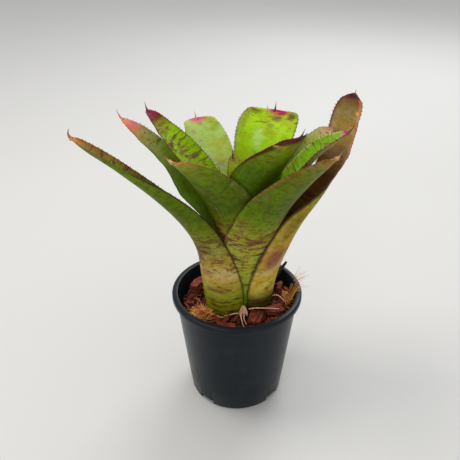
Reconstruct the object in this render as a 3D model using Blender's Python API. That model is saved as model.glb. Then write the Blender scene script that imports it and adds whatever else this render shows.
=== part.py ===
"""Potted bromeliad: a rosette of strap leaves rooted in bark mix, in a round nursery pot.

Blender units are metres and +Z is up. The numbers here are millimetres, turned into metres where a
mesh is made. The origin is the middle of the pot's underside, and the front of the plant is -Y.
"""

import math
import random

import bmesh
import bpy
import numpy as np
from mathutils import Matrix, Vector

MM = 0.001

# --- Pot -------------------------------------------------------------------------------------
POT_HEIGHT = 101.0
RIM_RADIUS = 55.0
RIM_BAND = 5.2            # height of the thick band round the mouth
RIM_OVERHANG = 3.4        # how far the band stands out from the wall below it
BEAD_HEIGHT = 1.8         # small step under the band
BEAD_OVERHANG = 0.8
FOOT_RADIUS = 40.8        # outside of the wall where it meets the ground
WALL = 1.5
FLOOR = 1.8
FLOOR_RISE = 2.2          # the ring of floor round the standing pad is this much off the ground
PAD_RADIUS = 17.0         # middle of the floor, which stands on the ground
FOOT_RING = 5.0           # radial width of the standing ring
NOTCH_WIDTH = 14.0
NOTCH_HEIGHT = 4.6
NOTCH_AZIMUTHS = (-130.0, -40.0, 50.0, 140.0)
POT_SEGMENTS = 56

# --- Bark mix and stem -----------------------------------------------------------------------
SOIL_DEPTH = 16.0         # from the rim down to the level that the leaves grow from
SOIL_FALL = 1.6           # the mix lies this much lower at the wall than in the middle
TOUCH = 0.35              # gap between pieces that rest on each other
STEM_RADIUS = 11.2
STEM_DEPTH = 12.0         # how deep the stem's foot sits in the mix
NECK_CLEARANCE = 2.0      # clear space round the stem inside the outermost wrapped leaf base
STEM_TOP = 30.0           # height of the growing tip above the mix

# --- Leaves ----------------------------------------------------------------------------------
PLANT_AXIS = (5.0, 3.0)   # the plant stands a little off the pot's centre
LEAF_THICKNESS = 1.1
SHEATH_GAP = 0.45         # clear space between one leaf base and the next
FUNNEL_RADIUS = 12.0      # the outermost wrapped leaf base at the mix
FUNNEL_FLARE = 0.155      # growth of that radius with height
TIP_START = 0.9           # share of the length after which a blade rounds off
LEAF_ROWS = 15
LEAF_COLUMNS = 8

# A station is (reach from the plant's axis, height above the mix, half width measured along the
# curve, half angle of the channel, roll). A sheath is (layer counted inwards, height of its base,
# height of its collar, half angle at the base, half angle at the collar). skew slides the section
# round its own curve, so that one margin stands higher than the other, and eases off to the tip.
# slide does the same with a value of its own at each station.
LEAVES = {
    "leaf_outer_left": dict(
        azimuth=194, turn=-6, slide=(16, 16, 19, 21, 18, 5, 0, 0),
        blade=[(31, 0, 34.8, 116, 0), (34.5, 30, 35, 100, 0), (38.5, 60, 27.5, 88, 0), (50, 84, 21.5, 87, 0),
               (70, 108, 16, 80, 0), (95, 131, 11, 60, 0), (114, 146, 8, 56, 0), (125, 157, 4, 50, 0)]),
    "leaf_outer_right": dict(
        azimuth=3, turn=27, slide=(-8, -19, -22, -17, -2, 0, 0, 0),
        blade=[(24.5, 0, 29, 107, 0), (27.5, 27, 28.5, 89, 0), (35, 53, 27.6, 78, 0), (47.6, 79, 23, 83, 0),
               (67, 103, 16, 66, 8), (86, 129, 14, 35, 18), (98, 153, 12.5, 25, 20), (103, 168, 9, 20, 20)]),
    "leaf_front_right": dict(
        azimuth=-32, skew=-30, sheath=(0, 0, 55, 105, 94),
        blade=[(28, 78, 30, 66, 0), (38, 101, 26, 54, -6), (53, 124, 20, 50, -8), (67, 142, 12, 50, -8),
               (74, 151, 5, 50, -8)]),
    "leaf_front_left": dict(
        azimuth=-146, skew=38, sheath=(1.35, 3, 50, 74, 54),
        blade=[(22.3, 77, 22.4, 53.5, 4), (31, 101, 24, 49, 8), (42.5, 122, 21, 44, 10), (55, 138, 14, 44, 10),
               (63, 146, 6, 40, 10)]),
    "leaf_left": dict(
        azimuth=167, skew=-17, sheath=(2.3, 6, 52, 48, 36),
        blade=[(30.6, 80, 18.6, 53, 0), (50, 101, 16.4, 46, 0), (62, 123, 13, 42, 0), (80, 142, 11, 38, 0),
               (97, 158, 5, 34, 0)]),
    "leaf_back_right": dict(
        azimuth=32, turn=-7, sheath=(2, 6, 60, 54, 50),
        blade=[(29, 88, 17, 48, 0), (45, 112, 17, 42, 0), (60, 129, 15, 38, 0), (70, 140, 11, 34, 0),
               (77, 146, 6, 30, 0)]),
    "leaf_right": dict(
        azimuth=-5, turn=-3, sheath=(3, 8, 60, 58, 52),
        blade=[(27, 94, 20.6, 49, 0), (41, 120, 20, 48, 0), (56, 141, 16, 48, 0), (68, 152, 9, 48, 0),
               (75, 158, 4, 48, 0)]),
    "leaf_back": dict(
        azimuth=121, sheath=(3.6, 8, 62, 53, 39),
        blade=[(27.5, 92, 14, 37, 0), (45, 113, 18, 36, 0), (60, 128, 19, 30, 0), (70, 138, 16, 26, 0),
               (77, 143, 12, 22, 0)]),
    "leaf_back_left": dict(
        azimuth=157, sheath=(4.7, 10, 62, 52, 42),
        blade=[(25.5, 94, 16.5, 43, 0), (41.5, 117, 18.5, 40, 0), (59, 136, 16, 35, 0), (73, 151, 10, 32, 0),
               (82, 161, 5, 30, 0)]),
    "leaf_front_inner": dict(
        azimuth=-50, skew=-16, sheath=(4.3, 10, 64, 60, 54),
        blade=[(19.5, 98, 23.5, 56, 0), (28.5, 126, 26, 50, 0), (43, 148, 21, 40, 0), (51, 160, 14, 34, 0),
               (56, 167, 9, 30, 0)]),
    "leaf_back_inner": dict(
        azimuth=66, sheath=(5.8, 18, 62, 56, 50),
        blade=[(24, 96, 19.7, 46, 0), (36, 120, 23.7, 38, 0), (48, 138, 26, 30, 0), (58, 147, 24, 26, 0),
               (65, 152, 18, 24, 0)]),
    "leaf_young_back": dict(
        azimuth=105, sheath=(6.9, 22, 66, 42, 38),
        blade=[(17, 86, 9, 40, 0), (22, 98, 8, 38, 0), (27, 109, 7, 36, 0), (31, 117, 5, 30, 0),
               (34, 122, 3, 28, 0)]),
    "leaf_young_front": dict(
        azimuth=-150, sheath=(6.9, 22, 60, 44, 40),
        blade=[(11.5, 76, 8, 44, 0), (13, 90, 7, 40, 0), (15, 103, 6, 40, 0), (17, 113, 5, 40, 0),
               (20, 121, 3, 40, 0)]),
}

# --- Loose pieces on the mix -----------------------------------------------------------------
# Each chip is (azimuth round the pot, distance in from the wall, length, width, height, turn, tilt).
HUSK_CHIPS = {
    "husk_chip_left": (150, 9.5, 20, 8, 9, 68, 8),
    "husk_chip_front": (-58, 20.5, 18, 12, 6, 75, 6),
    "husk_chip_front_right": (-24, 14, 15, 11, 5, 20, 9),
    "husk_chip_upright": (20.5, 8.5, 10, 5, 11, 78, 0),
    "husk_chip_front_left": (-103, 13, 13, 8, 4, 10, 7),
    "husk_chip_back": (83, 12, 17, 10, 6, 15, 8),
    "husk_chip_back_left": (118, 13, 14, 9, 5, 40, 10),
}
CHIP_SEED = 11
TUFTS = {
    # (azimuth, distance in from the wall, length, width, height, turn)
    "coir_tuft_left": (-151, 15.5, 21, 15, 7, 135),
    "coir_tuft_right": (6, 5.2, 21, 6.4, 12, 90),
}
BARK_SHARD_AZIMUTH = 35.0
BARK_SHARD_LENGTH = 31.0
BARK_SHARD_SIZE = (8.0, 2.6)       # width and thickness at its foot
BARK_SHARD_FOOT_IN = 16.57         # from the mouth of the pot inwards to its foot, which sets its lean
DRY_SCALE_SIZE = (6.0, 1.2, 11.0)  # a withered scale between the two outer leaf bases
DRY_SCALE_AT = (5.5, -17.0)
ROOT_RADIUS = 0.55
# Each root's points are (x, y, height above the mix).
ROOTS = {
    "root_left": [(1.2, -18.1, 3.5), (-3, -19.1, 3.6), (-7, -19.4, 2.6), (-11, -19.1, 1.3)],
    "root_right": [(9.8, -17.6, 7.5), (15, -18.6, 9.3), (22, -18.6, 9.2), (29, -17.6, 8.2), (35, -17.2, 7.3)],
    "root_front": [(3.4, -19.0, 4.0), (3.2, -23, 3.4), (4.2, -28, 2.0), (5.2, -33, 1.2)],
    "root_front_low": [(6.0, -19.4, 3.0), (5.6, -23, 2.2), (6.8, -27, 1.4), (7.6, -30, 1.2)],
    "root_arch": [(30.6, 3.0, 6.0), (34, 1.6, 7.6), (37.5, -0.8, 7.4), (40.5, -4.6, 5.6)],
}
ROOT_SIDES = 2             # bevel resolution of a root's section

SOIL = POT_HEIGHT - SOIL_DEPTH


def clear_scene():
    for thing in list(bpy.data.objects):
        bpy.data.objects.remove(thing, do_unlink=True)


def make_material(name, colour, roughness):
    made = bpy.data.materials.new(name)
    made.use_nodes = True
    shader = made.node_tree.nodes["Principled BSDF"]
    shader.inputs["Base Color"].default_value = (*colour, 1)
    shader.inputs["Roughness"].default_value = roughness
    shader.inputs["Metallic"].default_value = 0
    return made


def add_mesh(name, bm, material, smooth_angle=None):
    """Turns a bmesh in millimetres into a named object in metres."""
    bmesh.ops.scale(bm, verts=bm.verts, vec=(MM, MM, MM))
    mesh = bpy.data.meshes.new(name)
    bm.to_mesh(mesh)
    bm.free()
    if smooth_angle:
        mesh.shade_smooth()
        mesh.set_sharp_from_angle(angle=math.radians(smooth_angle))
    thing = bpy.data.objects.new(name, mesh)
    thing.data.materials.append(material)
    bpy.context.scene.collection.objects.link(thing)
    return thing


def turned(profile, segments):
    """A solid of revolution: profile is (radius, height) from the axis, round the outside, to the axis."""
    bm = bmesh.new()
    rings = []
    for radius, height in profile:
        if radius == 0:
            rings.append([bm.verts.new((0, 0, height))])
            continue
        angles = [2 * math.pi * i / segments for i in range(segments)]
        rings.append([bm.verts.new((radius * math.cos(a), radius * math.sin(a), height)) for a in angles])
    for low, high in zip(rings, rings[1:]):
        for i in range(segments):
            j = (i + 1) % segments
            corners = [low[i % len(low)], low[j % len(low)], high[j % len(high)], high[i % len(high)]]
            bm.faces.new(list(dict.fromkeys(corners)))
    bmesh.ops.recalc_face_normals(bm, faces=bm.faces)
    return bm


def wall_radius(height):
    """Outside of the pot's wall at a height above the ground."""
    top = RIM_RADIUS - RIM_OVERHANG
    return FOOT_RADIUS + (top - FOOT_RADIUS) * height / (POT_HEIGHT - RIM_BAND)


def bore_radius(height):
    """Inside of the pot's wall at a height above the ground."""
    return wall_radius(min(height, POT_HEIGHT - RIM_BAND)) - WALL


# --- Pot, mix and stem -----------------------------------------------------------------------
def pot_profile():
    band = POT_HEIGHT - RIM_BAND
    bead = band - BEAD_HEIGHT
    floor_top = FLOOR_RISE + FLOOR
    rise_start = PAD_RADIUS + 2 * FLOOR_RISE
    ring_inside = FOOT_RADIUS - FOOT_RING
    return [
        (0, 0), (PAD_RADIUS, 0), (rise_start, FLOOR_RISE), (ring_inside, FLOOR_RISE),
        (ring_inside + 1.2, 0), (FOOT_RADIUS - 1.0, 0), (FOOT_RADIUS, 1.0),
        (wall_radius(bead), bead), (wall_radius(bead) + BEAD_OVERHANG, bead + 0.3),
        (wall_radius(band) + BEAD_OVERHANG, band), (RIM_RADIUS - 0.7, band), (RIM_RADIUS, band + 0.7),
        (RIM_RADIUS, POT_HEIGHT - 1.5), (RIM_RADIUS - 0.6, POT_HEIGHT - 0.4), (RIM_RADIUS - 1.5, POT_HEIGHT),
        (bore_radius(band) + 0.5, POT_HEIGHT), (bore_radius(band), POT_HEIGHT - 0.6),
        (bore_radius(band), band), (bore_radius(floor_top), floor_top), (rise_start - 1, floor_top),
        (PAD_RADIUS - 1, FLOOR), (0, FLOOR),
    ]


def notch_cutter(name, azimuth):
    """A block that cuts one drain notch through the foot of the wall."""
    bm = bmesh.new()
    bmesh.ops.create_cube(bm, size=1)
    bmesh.ops.scale(bm, verts=bm.verts, vec=(16, NOTCH_WIDTH, 2 * NOTCH_HEIGHT))
    bmesh.ops.translate(bm, verts=bm.verts, vec=(FOOT_RADIUS + 1, 0, 0))
    bmesh.ops.rotate(bm, verts=bm.verts, matrix=Matrix.Rotation(math.radians(azimuth), 3, "Z"))
    cutter = add_mesh(name, bm, None)
    cutter.hide_render = True
    cutter.display_type = "WIRE"
    return cutter


def make_pot():
    plastic = make_material("pot_plastic", (0.022, 0.025, 0.03), 0.42)
    pot = add_mesh("pot", turned(pot_profile(), POT_SEGMENTS), plastic, 35)
    for number, azimuth in enumerate(NOTCH_AZIMUTHS, 1):
        cut = pot.modifiers.new(f"drain_notch_{number}", "BOOLEAN")
        cut.operation = "DIFFERENCE"
        cut.object = notch_cutter(f"notch_cutter_{number}", azimuth)


def make_mix():
    top = SOIL - TOUCH
    edge = top - SOIL_FALL
    floor = max(FLOOR_RISE + FLOOR, NOTCH_HEIGHT) + TOUCH
    pocket = STEM_RADIUS + TOUCH
    profile = [
        (0, floor), (bore_radius(floor) - 2 * TOUCH - 1.5, floor),
        (bore_radius(floor + 3) - 2 * TOUCH, floor + 3), (bore_radius(edge) - 2 * TOUCH, edge),
        (bore_radius(edge) - 12, top - 0.4 * SOIL_FALL), (pocket + 14, top), (pocket, top),
        (pocket, SOIL - STEM_DEPTH - TOUCH), (0, SOIL - STEM_DEPTH - TOUCH),
    ]
    mix = turned(profile, 40)
    # The pocket is centred on the plant, so the upper rings slide across with it.
    for vert in mix.verts:
        radius = math.hypot(vert.co.x, vert.co.y)
        if radius <= pocket + 14.1 and vert.co.z > SOIL - STEM_DEPTH - 1:
            vert.co.x += PLANT_AXIS[0]
            vert.co.y += PLANT_AXIS[1]
    add_mesh("potting_mix", mix, make_material("bark_mix", (0.12, 0.045, 0.02), 0.95))


def sheath_radius(layer, height):
    """Middle of a wrapped leaf base, at a height above the mix."""
    return FUNNEL_RADIUS + FUNNEL_FLARE * height - layer * (LEAF_THICKNESS + SHEATH_GAP)


def make_stem():
    """A short cone of stem inside the leaf bases, narrower than the innermost base at each height."""
    bases = sorted({leaf["sheath"][:2] for leaf in LEAVES.values() if "sheath" in leaf}, key=lambda b: b[1])
    clear = LEAF_THICKNESS / 2 + SHEATH_GAP
    shoulder = FUNNEL_RADIUS - clear - NECK_CLEARANCE
    profile = [(0, -STEM_DEPTH), (STEM_RADIUS - 2, -STEM_DEPTH), (STEM_RADIUS, 2 - STEM_DEPTH),
               (STEM_RADIUS, -TOUCH - 0.1), (shoulder, 0.2)]
    for layer, height in bases:
        radius = sheath_radius(layer, height) - clear
        if radius < profile[-1][0]:
            profile += [(radius, height - 1.2)] if height - 1.2 > profile[-1][1] + 0.3 else []
            if profile[-1][0] > radius:
                profile[-1] = (radius, profile[-1][1])
    tip = profile[-1][0]
    profile += [(tip * 0.9, STEM_TOP - 4), (tip * 0.6, STEM_TOP - 1), (0, STEM_TOP)]
    bm = turned(profile, 20)
    bmesh.ops.translate(bm, verts=bm.verts, vec=(*PLANT_AXIS, SOIL))
    add_mesh("stem", bm, make_material("stem_flesh", (0.42, 0.45, 0.2), 0.6), 40)


# --- Leaves ----------------------------------------------------------------------------------
def leaf_stations(leaf):
    """The stations from base to tip, with the wrapped base's own stations worked out first."""
    stations = []
    if "sheath" in leaf:
        layer, base, collar, wrap_base, wrap_collar = leaf["sheath"]
        for share in (0, 0.5, 1):
            height = base + (collar - base) * share
            wrap = wrap_base + (wrap_collar - wrap_base) * share
            radius = sheath_radius(layer, height)
            stations.append((radius, height, radius * math.radians(wrap), wrap, 0))
    return np.array(stations + leaf["blade"], float)


def through_stations(stations, steps):
    """A smooth curve through the stations, as a Catmull-Rom spline."""
    last = len(stations) - 1
    place = np.linspace(0, last, steps)
    first = np.minimum(place.astype(int), last - 1)
    part = (place - first)[:, None]
    ends = np.vstack([2 * stations[0] - stations[1], stations, 2 * stations[-1] - stations[-2]])
    a, b, c, d = ends[first], ends[first + 1], ends[first + 2], ends[first + 3]
    return 0.5 * (2 * b + (c - a) * part + (2 * a - 5 * b + 4 * c - d) * part**2
                  + (3 * b - 3 * c + d - a) * part**3)


def ease(value):
    value = np.clip(value, 0, 1)
    return value * value * (3 - 2 * value)


def leaf_surface(leaf, rows, columns):
    """The middle surface of a leaf and the direction through it, as arrays of rows by columns."""
    stations = leaf_stations(leaf)
    last = len(stations) - 1
    along = np.linspace(0, 1, rows)
    reach, height, half, cup, roll = through_stations(stations, rows).T
    bearing = np.radians(leaf["azimuth"] + leaf.get("turn", 0) * ease(1.2 * (along * last - 2) / (last - 2)))
    outward = np.stack([np.cos(bearing), np.sin(bearing), 0 * bearing], 1)
    sideways = np.stack([-np.sin(bearing), np.cos(bearing), 0 * bearing], 1)
    upward = np.array([0, 0, 1.0])
    midrib = np.array([*PLANT_AXIS, SOIL]) + outward * reach[:, None] + upward * height[:, None]

    step = np.gradient(midrib, axis=0)
    slope = np.arctan2(step[:, 2], (step * outward).sum(1))
    lean = ease((along * last - 1.5) / 2.2)
    slope = math.pi / 2 + (slope - math.pi / 2) * lean
    inward = upward * np.cos(slope)[:, None] - outward * np.sin(slope)[:, None]
    roll = np.radians(roll)[:, None]
    across = sideways * np.cos(roll) + inward * np.sin(roll)
    inward = inward * np.cos(roll) - sideways * np.sin(roll)

    cup = np.radians(cup)
    curve = half / cup
    rounding = 1 - np.clip((along - TIP_START) / (1 - TIP_START), 0, 1) ** 2.2
    half = np.maximum(half * np.sqrt(rounding), 0.5)
    if "slide" in leaf:
        skew = np.radians(through_stations(np.array(leaf["slide"], float)[:, None], rows)[:, 0])
    else:
        skew = np.radians(leaf.get("skew", 0)) * (1 - along**2)
    angle = np.linspace(-1, 1, columns)[None, :] * (half / curve)[:, None] + skew[:, None]
    angle = angle[:, :, None]
    curve = curve[:, None, None]
    across = across[:, None, :]
    inward = inward[:, None, :]
    points = midrib[:, None, :] + curve * (across * np.sin(angle) + inward * (1 - np.cos(angle)))
    through = inward * np.cos(angle) - across * np.sin(angle)
    return points, through


def make_leaf(name, leaf, material):
    points, through = leaf_surface(leaf, LEAF_ROWS, LEAF_COLUMNS)
    offset = through * LEAF_THICKNESS / 2
    bm = bmesh.new()
    inner = [[bm.verts.new(p) for p in row] for row in points + offset]
    outer = [[bm.verts.new(p) for p in row] for row in points - offset]
    for i in range(LEAF_ROWS - 1):
        for j in range(LEAF_COLUMNS - 1):
            bm.faces.new((inner[i][j], inner[i][j + 1], inner[i + 1][j + 1], inner[i + 1][j]))
            bm.faces.new((outer[i][j], outer[i + 1][j], outer[i + 1][j + 1], outer[i][j + 1]))
    rim = [(i, j) for i, j in margin_walk(LEAF_ROWS, LEAF_COLUMNS)]
    for (i, j), (k, l) in zip(rim, rim[1:] + rim[:1]):
        bm.faces.new((inner[i][j], outer[i][j], outer[k][l], inner[k][l]))
    bmesh.ops.recalc_face_normals(bm, faces=bm.faces)
    add_mesh(name, bm, material, 50)


def margin_walk(rows, columns):
    """The grid places round the edge of a leaf, in order."""
    up = [(i, columns - 1) for i in range(rows)]
    over = [(rows - 1, j) for j in range(columns - 2, -1, -1)]
    down = [(i, 0) for i in range(rows - 2, -1, -1)]
    return up + over + down + [(0, j) for j in range(1, columns - 1)]


def make_leaves():
    green = (0.16, 0.30, 0.02)
    olive = (0.27, 0.25, 0.05)
    for name, leaf in LEAVES.items():
        colour = olive if "outer" in name else green
        make_leaf(name, leaf, make_material(f"{name}_green", colour, 0.38))


# --- Loose pieces ----------------------------------------------------------------------------
def place_on_mix(bm, azimuth, inset, turn, tilt=0.0):
    """Turns a shape, moves it a distance in from the pot's wall, and rests it on the mix."""
    bmesh.ops.rotate(bm, verts=bm.verts, matrix=Matrix.Rotation(math.radians(tilt), 3, "Y"))
    bmesh.ops.rotate(bm, verts=bm.verts, matrix=Matrix.Rotation(math.radians(turn), 3, "Z"))
    distance = bore_radius(SOIL) - inset
    bearing = math.radians(azimuth)
    lowest = min(vert.co.z for vert in bm.verts)
    move = (distance * math.cos(bearing), distance * math.sin(bearing), SOIL - lowest)
    bmesh.ops.translate(bm, verts=bm.verts, vec=move)


def make_husk_chips():
    draw = random.Random(CHIP_SEED)
    for name, (azimuth, inset, length, width, height, turn, tilt) in HUSK_CHIPS.items():
        bm = bmesh.new()
        bmesh.ops.create_cube(bm, size=1)
        for vert in bm.verts:
            vert.co.x *= 1 - 0.22 * draw.random()
            vert.co.y *= 1 - 0.30 * draw.random()
            vert.co.z *= 1 - 0.20 * draw.random()
        bmesh.ops.scale(bm, verts=bm.verts, vec=(length, width, height))
        bmesh.ops.triangulate(bm, faces=bm.faces)
        place_on_mix(bm, azimuth, inset, turn, tilt)
        add_mesh(name, bm, make_material(f"{name}_husk", (0.17, 0.045, 0.02), 0.9))


def make_tufts():
    for name, (azimuth, inset, length, width, height, turn) in TUFTS.items():
        bm = bmesh.new()
        bmesh.ops.create_icosphere(bm, subdivisions=2, radius=0.5)
        for vert in bm.verts:
            vert.co.z = max(vert.co.z, -0.3)
        bmesh.ops.scale(bm, verts=bm.verts, vec=(length, width, height))
        place_on_mix(bm, azimuth, inset, turn)
        add_mesh(name, bm, make_material(f"{name}_coir", (0.5, 0.17, 0.03), 0.9), 60)


def make_bark_shard():
    """A dark splinter that leans on the mouth of the pot from inside, with its point in the air."""
    width, thickness = BARK_SHARD_SIZE
    bm = bmesh.new()
    bmesh.ops.create_cube(bm, size=1)
    for vert in bm.verts:
        narrow = 1.0 if vert.co.z < 0 else 0.25
        vert.co.x *= thickness * narrow
        vert.co.y *= width * narrow
        vert.co.z *= BARK_SHARD_LENGTH
    lean = math.atan2(BARK_SHARD_FOOT_IN, POT_HEIGHT - SOIL)
    bmesh.ops.rotate(bm, verts=bm.verts, matrix=Matrix.Rotation(lean, 3, "Y"))
    lowest = min(vert.co.z for vert in bm.verts)
    mouth = bore_radius(POT_HEIGHT) - 1.6 - thickness / 2
    over_mouth = (POT_HEIGHT - SOIL) + lowest
    reach = mouth - over_mouth * math.tan(lean)
    bmesh.ops.translate(bm, verts=bm.verts, vec=(reach, 0, SOIL - lowest))
    bmesh.ops.rotate(bm, verts=bm.verts, matrix=Matrix.Rotation(math.radians(BARK_SHARD_AZIMUTH), 3, "Z"))
    bmesh.ops.triangulate(bm, faces=bm.faces)
    add_mesh("bark_shard", bm, make_material("bark_dark", (0.03, 0.018, 0.014), 0.85))


def make_dry_scale():
    width, thickness, height = DRY_SCALE_SIZE
    bm = bmesh.new()
    bmesh.ops.create_cube(bm, size=1)
    for vert in bm.verts:
        if vert.co.z > 0:
            vert.co.x *= 0.4
    bmesh.ops.scale(bm, verts=bm.verts, vec=(width, thickness, height))
    bmesh.ops.translate(bm, verts=bm.verts, vec=(*DRY_SCALE_AT, SOIL + height / 2))
    bmesh.ops.triangulate(bm, faces=bm.faces)
    add_mesh("dry_scale", bm, make_material("dry_scale_tan", (0.45, 0.27, 0.13), 0.85))


def make_roots():
    """Thin dry roots and coir strands that lie across the mix."""
    for name, points in ROOTS.items():
        curve = bpy.data.curves.new(name, "CURVE")
        curve.dimensions = "3D"
        curve.bevel_depth = ROOT_RADIUS * MM
        curve.bevel_resolution = ROOT_SIDES
        curve.use_fill_caps = True
        smooth = through_stations(np.array(points, float), 3 * len(points))
        spline = curve.splines.new("POLY")
        spline.points.add(len(smooth) - 1)
        for point, (x, y, height) in zip(spline.points, smooth):
            point.co = Vector((x, y, SOIL + height)).to_4d()
            point.co *= MM
            point.co.w = 1
        root = bpy.data.objects.new(name, curve)
        root.data.materials.append(make_material(f"{name}_fibre", (0.42, 0.2, 0.09), 0.85))
        bpy.context.scene.collection.objects.link(root)


def main():
    clear_scene()
    make_pot()
    make_mix()
    make_stem()
    make_leaves()
    make_husk_chips()
    make_tufts()
    make_bark_shard()
    make_dry_scale()
    make_roots()


main()
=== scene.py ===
# %% [markdown]
# # A potted bromeliad
# The plant is a rosette of strap leaves that wrap round each other at the foot and hold water in the
# middle. It grows in bark and coconut husk, in a thin black nursery pot. The solid frame of the model is
# loaded first, because every piece made here has to lie in the space that its solid holds.

# %% Load the frame
import math
import random

import bmesh
import bpy
import numpy as np
from mathutils import Matrix, Vector, noise


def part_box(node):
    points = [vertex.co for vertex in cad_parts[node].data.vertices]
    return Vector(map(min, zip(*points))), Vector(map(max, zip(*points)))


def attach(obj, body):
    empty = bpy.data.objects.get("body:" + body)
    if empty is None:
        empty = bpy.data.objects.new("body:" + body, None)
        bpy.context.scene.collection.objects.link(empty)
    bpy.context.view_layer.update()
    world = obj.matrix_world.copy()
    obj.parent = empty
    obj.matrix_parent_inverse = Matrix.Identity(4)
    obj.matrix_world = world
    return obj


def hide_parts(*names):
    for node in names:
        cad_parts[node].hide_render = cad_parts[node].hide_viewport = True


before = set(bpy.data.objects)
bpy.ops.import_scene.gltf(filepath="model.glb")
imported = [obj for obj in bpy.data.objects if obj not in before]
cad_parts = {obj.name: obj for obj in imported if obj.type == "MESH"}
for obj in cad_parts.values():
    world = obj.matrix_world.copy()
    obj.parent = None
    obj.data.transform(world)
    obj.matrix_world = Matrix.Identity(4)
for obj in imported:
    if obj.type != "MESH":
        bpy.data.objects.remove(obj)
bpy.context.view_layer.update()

MM = 0.001
bpy.ops.object.select_all(action="DESELECT")

# %% [markdown]
# ## Small tools
# Distances in this lesson are in millimetres, as on a drawing, and become metres when a mesh is made.
# Colours are picked as red, green and blue from 0 to 255, as on a colour card, and become the linear
# values that shaders work with.

# %% Colour and shape helpers
def card(red, green, blue):
    """A colour card value as linear light."""
    shares = [v / 255 for v in (red, green, blue)]
    return tuple(s / 12.92 if s <= 0.04045 else ((s + 0.055) / 1.055) ** 2.4 for s in shares)


def ease(value):
    """0 below 0 and 1 above 1, with a soft change between them."""
    value = np.clip(value, 0, 1)
    return value * value * (3 - 2 * value)


def through(stations, place):
    """A smooth Catmull-Rom curve through the stations, read at places counted in stations."""
    stations = np.array(stations, float)
    last = len(stations) - 1
    first = np.clip(np.asarray(place, float).astype(int), 0, last - 1)
    part = (place - first)[:, None]
    ends = np.vstack([2 * stations[0] - stations[1], stations, 2 * stations[-1] - stations[-2]])
    a, b, c, d = ends[first], ends[first + 1], ends[first + 2], ends[first + 3]
    return 0.5 * (2 * b + (c - a) * part + (2 * a - 5 * b + 4 * c - d) * part**2
                  + (3 * b - 3 * c + d - a) * part**3)


print("white card:", card(255, 255, 255))

# %% [markdown]
# ## Shader expressions
# A material is a graph of nodes, and graphs are slow to read. Here a socket is wrapped in a small class,
# so that `0.2 + grain * 0.5` adds the Math nodes by itself, and one method adds any other node.

# %% Sockets that can be added and multiplied
class Wire:
    """The output of a node, which can stand in a sum."""

    def __init__(self, paint, socket):
        self.paint, self.socket = paint, socket

    def math(self, operation, *others):
        terms = dict(enumerate((self, *others)))
        return self.paint.node("ShaderNodeMath", {"operation": operation}, terms)

    def __add__(self, other):
        return self.math("ADD", other)

    def __mul__(self, other):
        return self.math("MULTIPLY", other)

    __radd__ = __add__
    __rmul__ = __mul__


print("sockets can be added and multiplied")

# %% A material and its nodes
class Paint:
    """One material and its nodes."""

    def __init__(self, name, **constants):
        self.material = bpy.data.materials.new(name)
        self.material.use_nodes = True
        self.tree = self.material.node_tree
        self.shader = self.tree.nodes["Principled BSDF"]
        for socket, value in constants.items():
            self.shader.inputs[socket.replace("_", " ")].default_value = value

    def node(self, kind, settings=None, inputs=None, output=0):
        made = self.tree.nodes.new(kind)
        for name, value in (settings or {}).items():
            if name == "stops":
                self.set_stops(made.color_ramp, value)
            else:
                setattr(made, name, value)
        for key, value in (inputs or {}).items():
            self.feed(made.inputs[key], value)
        return Wire(self, made.outputs[output])

    def set_stops(self, ramp, stops):
        while len(ramp.elements) < len(stops):
            ramp.elements.new(1)
        for element, (position, colour) in zip(ramp.elements, stops):
            element.position = position
            element.color = (*colour, 1)

    def feed(self, socket, value):
        if isinstance(value, Wire):
            self.tree.links.new(value.socket, socket)
        elif isinstance(value, tuple) and len(value) == 3 and socket.type == "RGBA":
            socket.default_value = (*value, 1)
        else:
            socket.default_value = value

    def attribute(self, name, output="Fac"):
        return self.node("ShaderNodeAttribute", {"attribute_name": name}, output=output)

    def place(self):
        return self.node("ShaderNodeTexCoord", output="Object")

    def stretch(self, vector, scale, offset=(0, 0, 0)):
        return self.node("ShaderNodeMapping", {}, {"Vector": vector, "Scale": scale, "Location": offset})

    def cloud(self, vector, scale, detail=3.0, roughness=0.55, distortion=0.0):
        inputs = {"Vector": vector, "Scale": scale, "Detail": detail, "Roughness": roughness,
                  "Distortion": distortion}
        return self.node("ShaderNodeTexNoise", {}, inputs)

    def step(self, value, low, high):
        """0 below low and 1 above high, with a soft change between them."""
        inputs = {"Value": value, "From Min": low, "From Max": high}
        return self.node("ShaderNodeMapRange", {"interpolation_type": "SMOOTHSTEP"}, inputs)

    def mix(self, factor, first, second, blend="MIX"):
        """Two colours mixed. Sockets 6 and 7 and output 2 are the ones of a Mix node set to colour."""
        settings = {"data_type": "RGBA", "blend_type": blend}
        return self.node("ShaderNodeMix", settings, {"Factor": factor, 6: first, 7: second}, 2)

    def multiply(self, factor, colour, tint):
        """A colour darkened by a tint, by a share."""
        return self.mix(factor, colour, self.mix(1.0, colour, tint, "MULTIPLY"))

    def ramp(self, factor, *stops):
        return self.node("ShaderNodeValToRGB", {"stops": stops}, {"Fac": factor})

    def bump(self, height, strength, distance):
        return self.node("ShaderNodeBump", {}, {"Height": height, "Strength": strength, "Distance": distance})

    def finish(self, **links):
        for socket, value in links.items():
            self.feed(self.shader.inputs[socket.replace("_", " ")], value)
        return self.material


print("shader helper ready")

# %% [markdown]
# ## Mesh helpers
# Two kinds of mesh are made in this lesson. Larger pieces start from a primitive and are shaped with
# edit-mode operators and modifiers. Strands, spines and teeth are rings of points swept along a path,
# because there are hundreds of them and each needs only a few faces.

# %% Piece helpers
def finish_piece(piece, slot, *nodes):
    """Rides a piece on the plant's one body and stands it in for its solids."""
    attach(piece, "root")
    if nodes:
        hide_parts(*nodes)


def add_object(name, data):
    """Links a new object that holds the data to the scene."""
    made = bpy.data.objects.new(name, data)
    bpy.context.scene.collection.objects.link(made)
    return made


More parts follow.
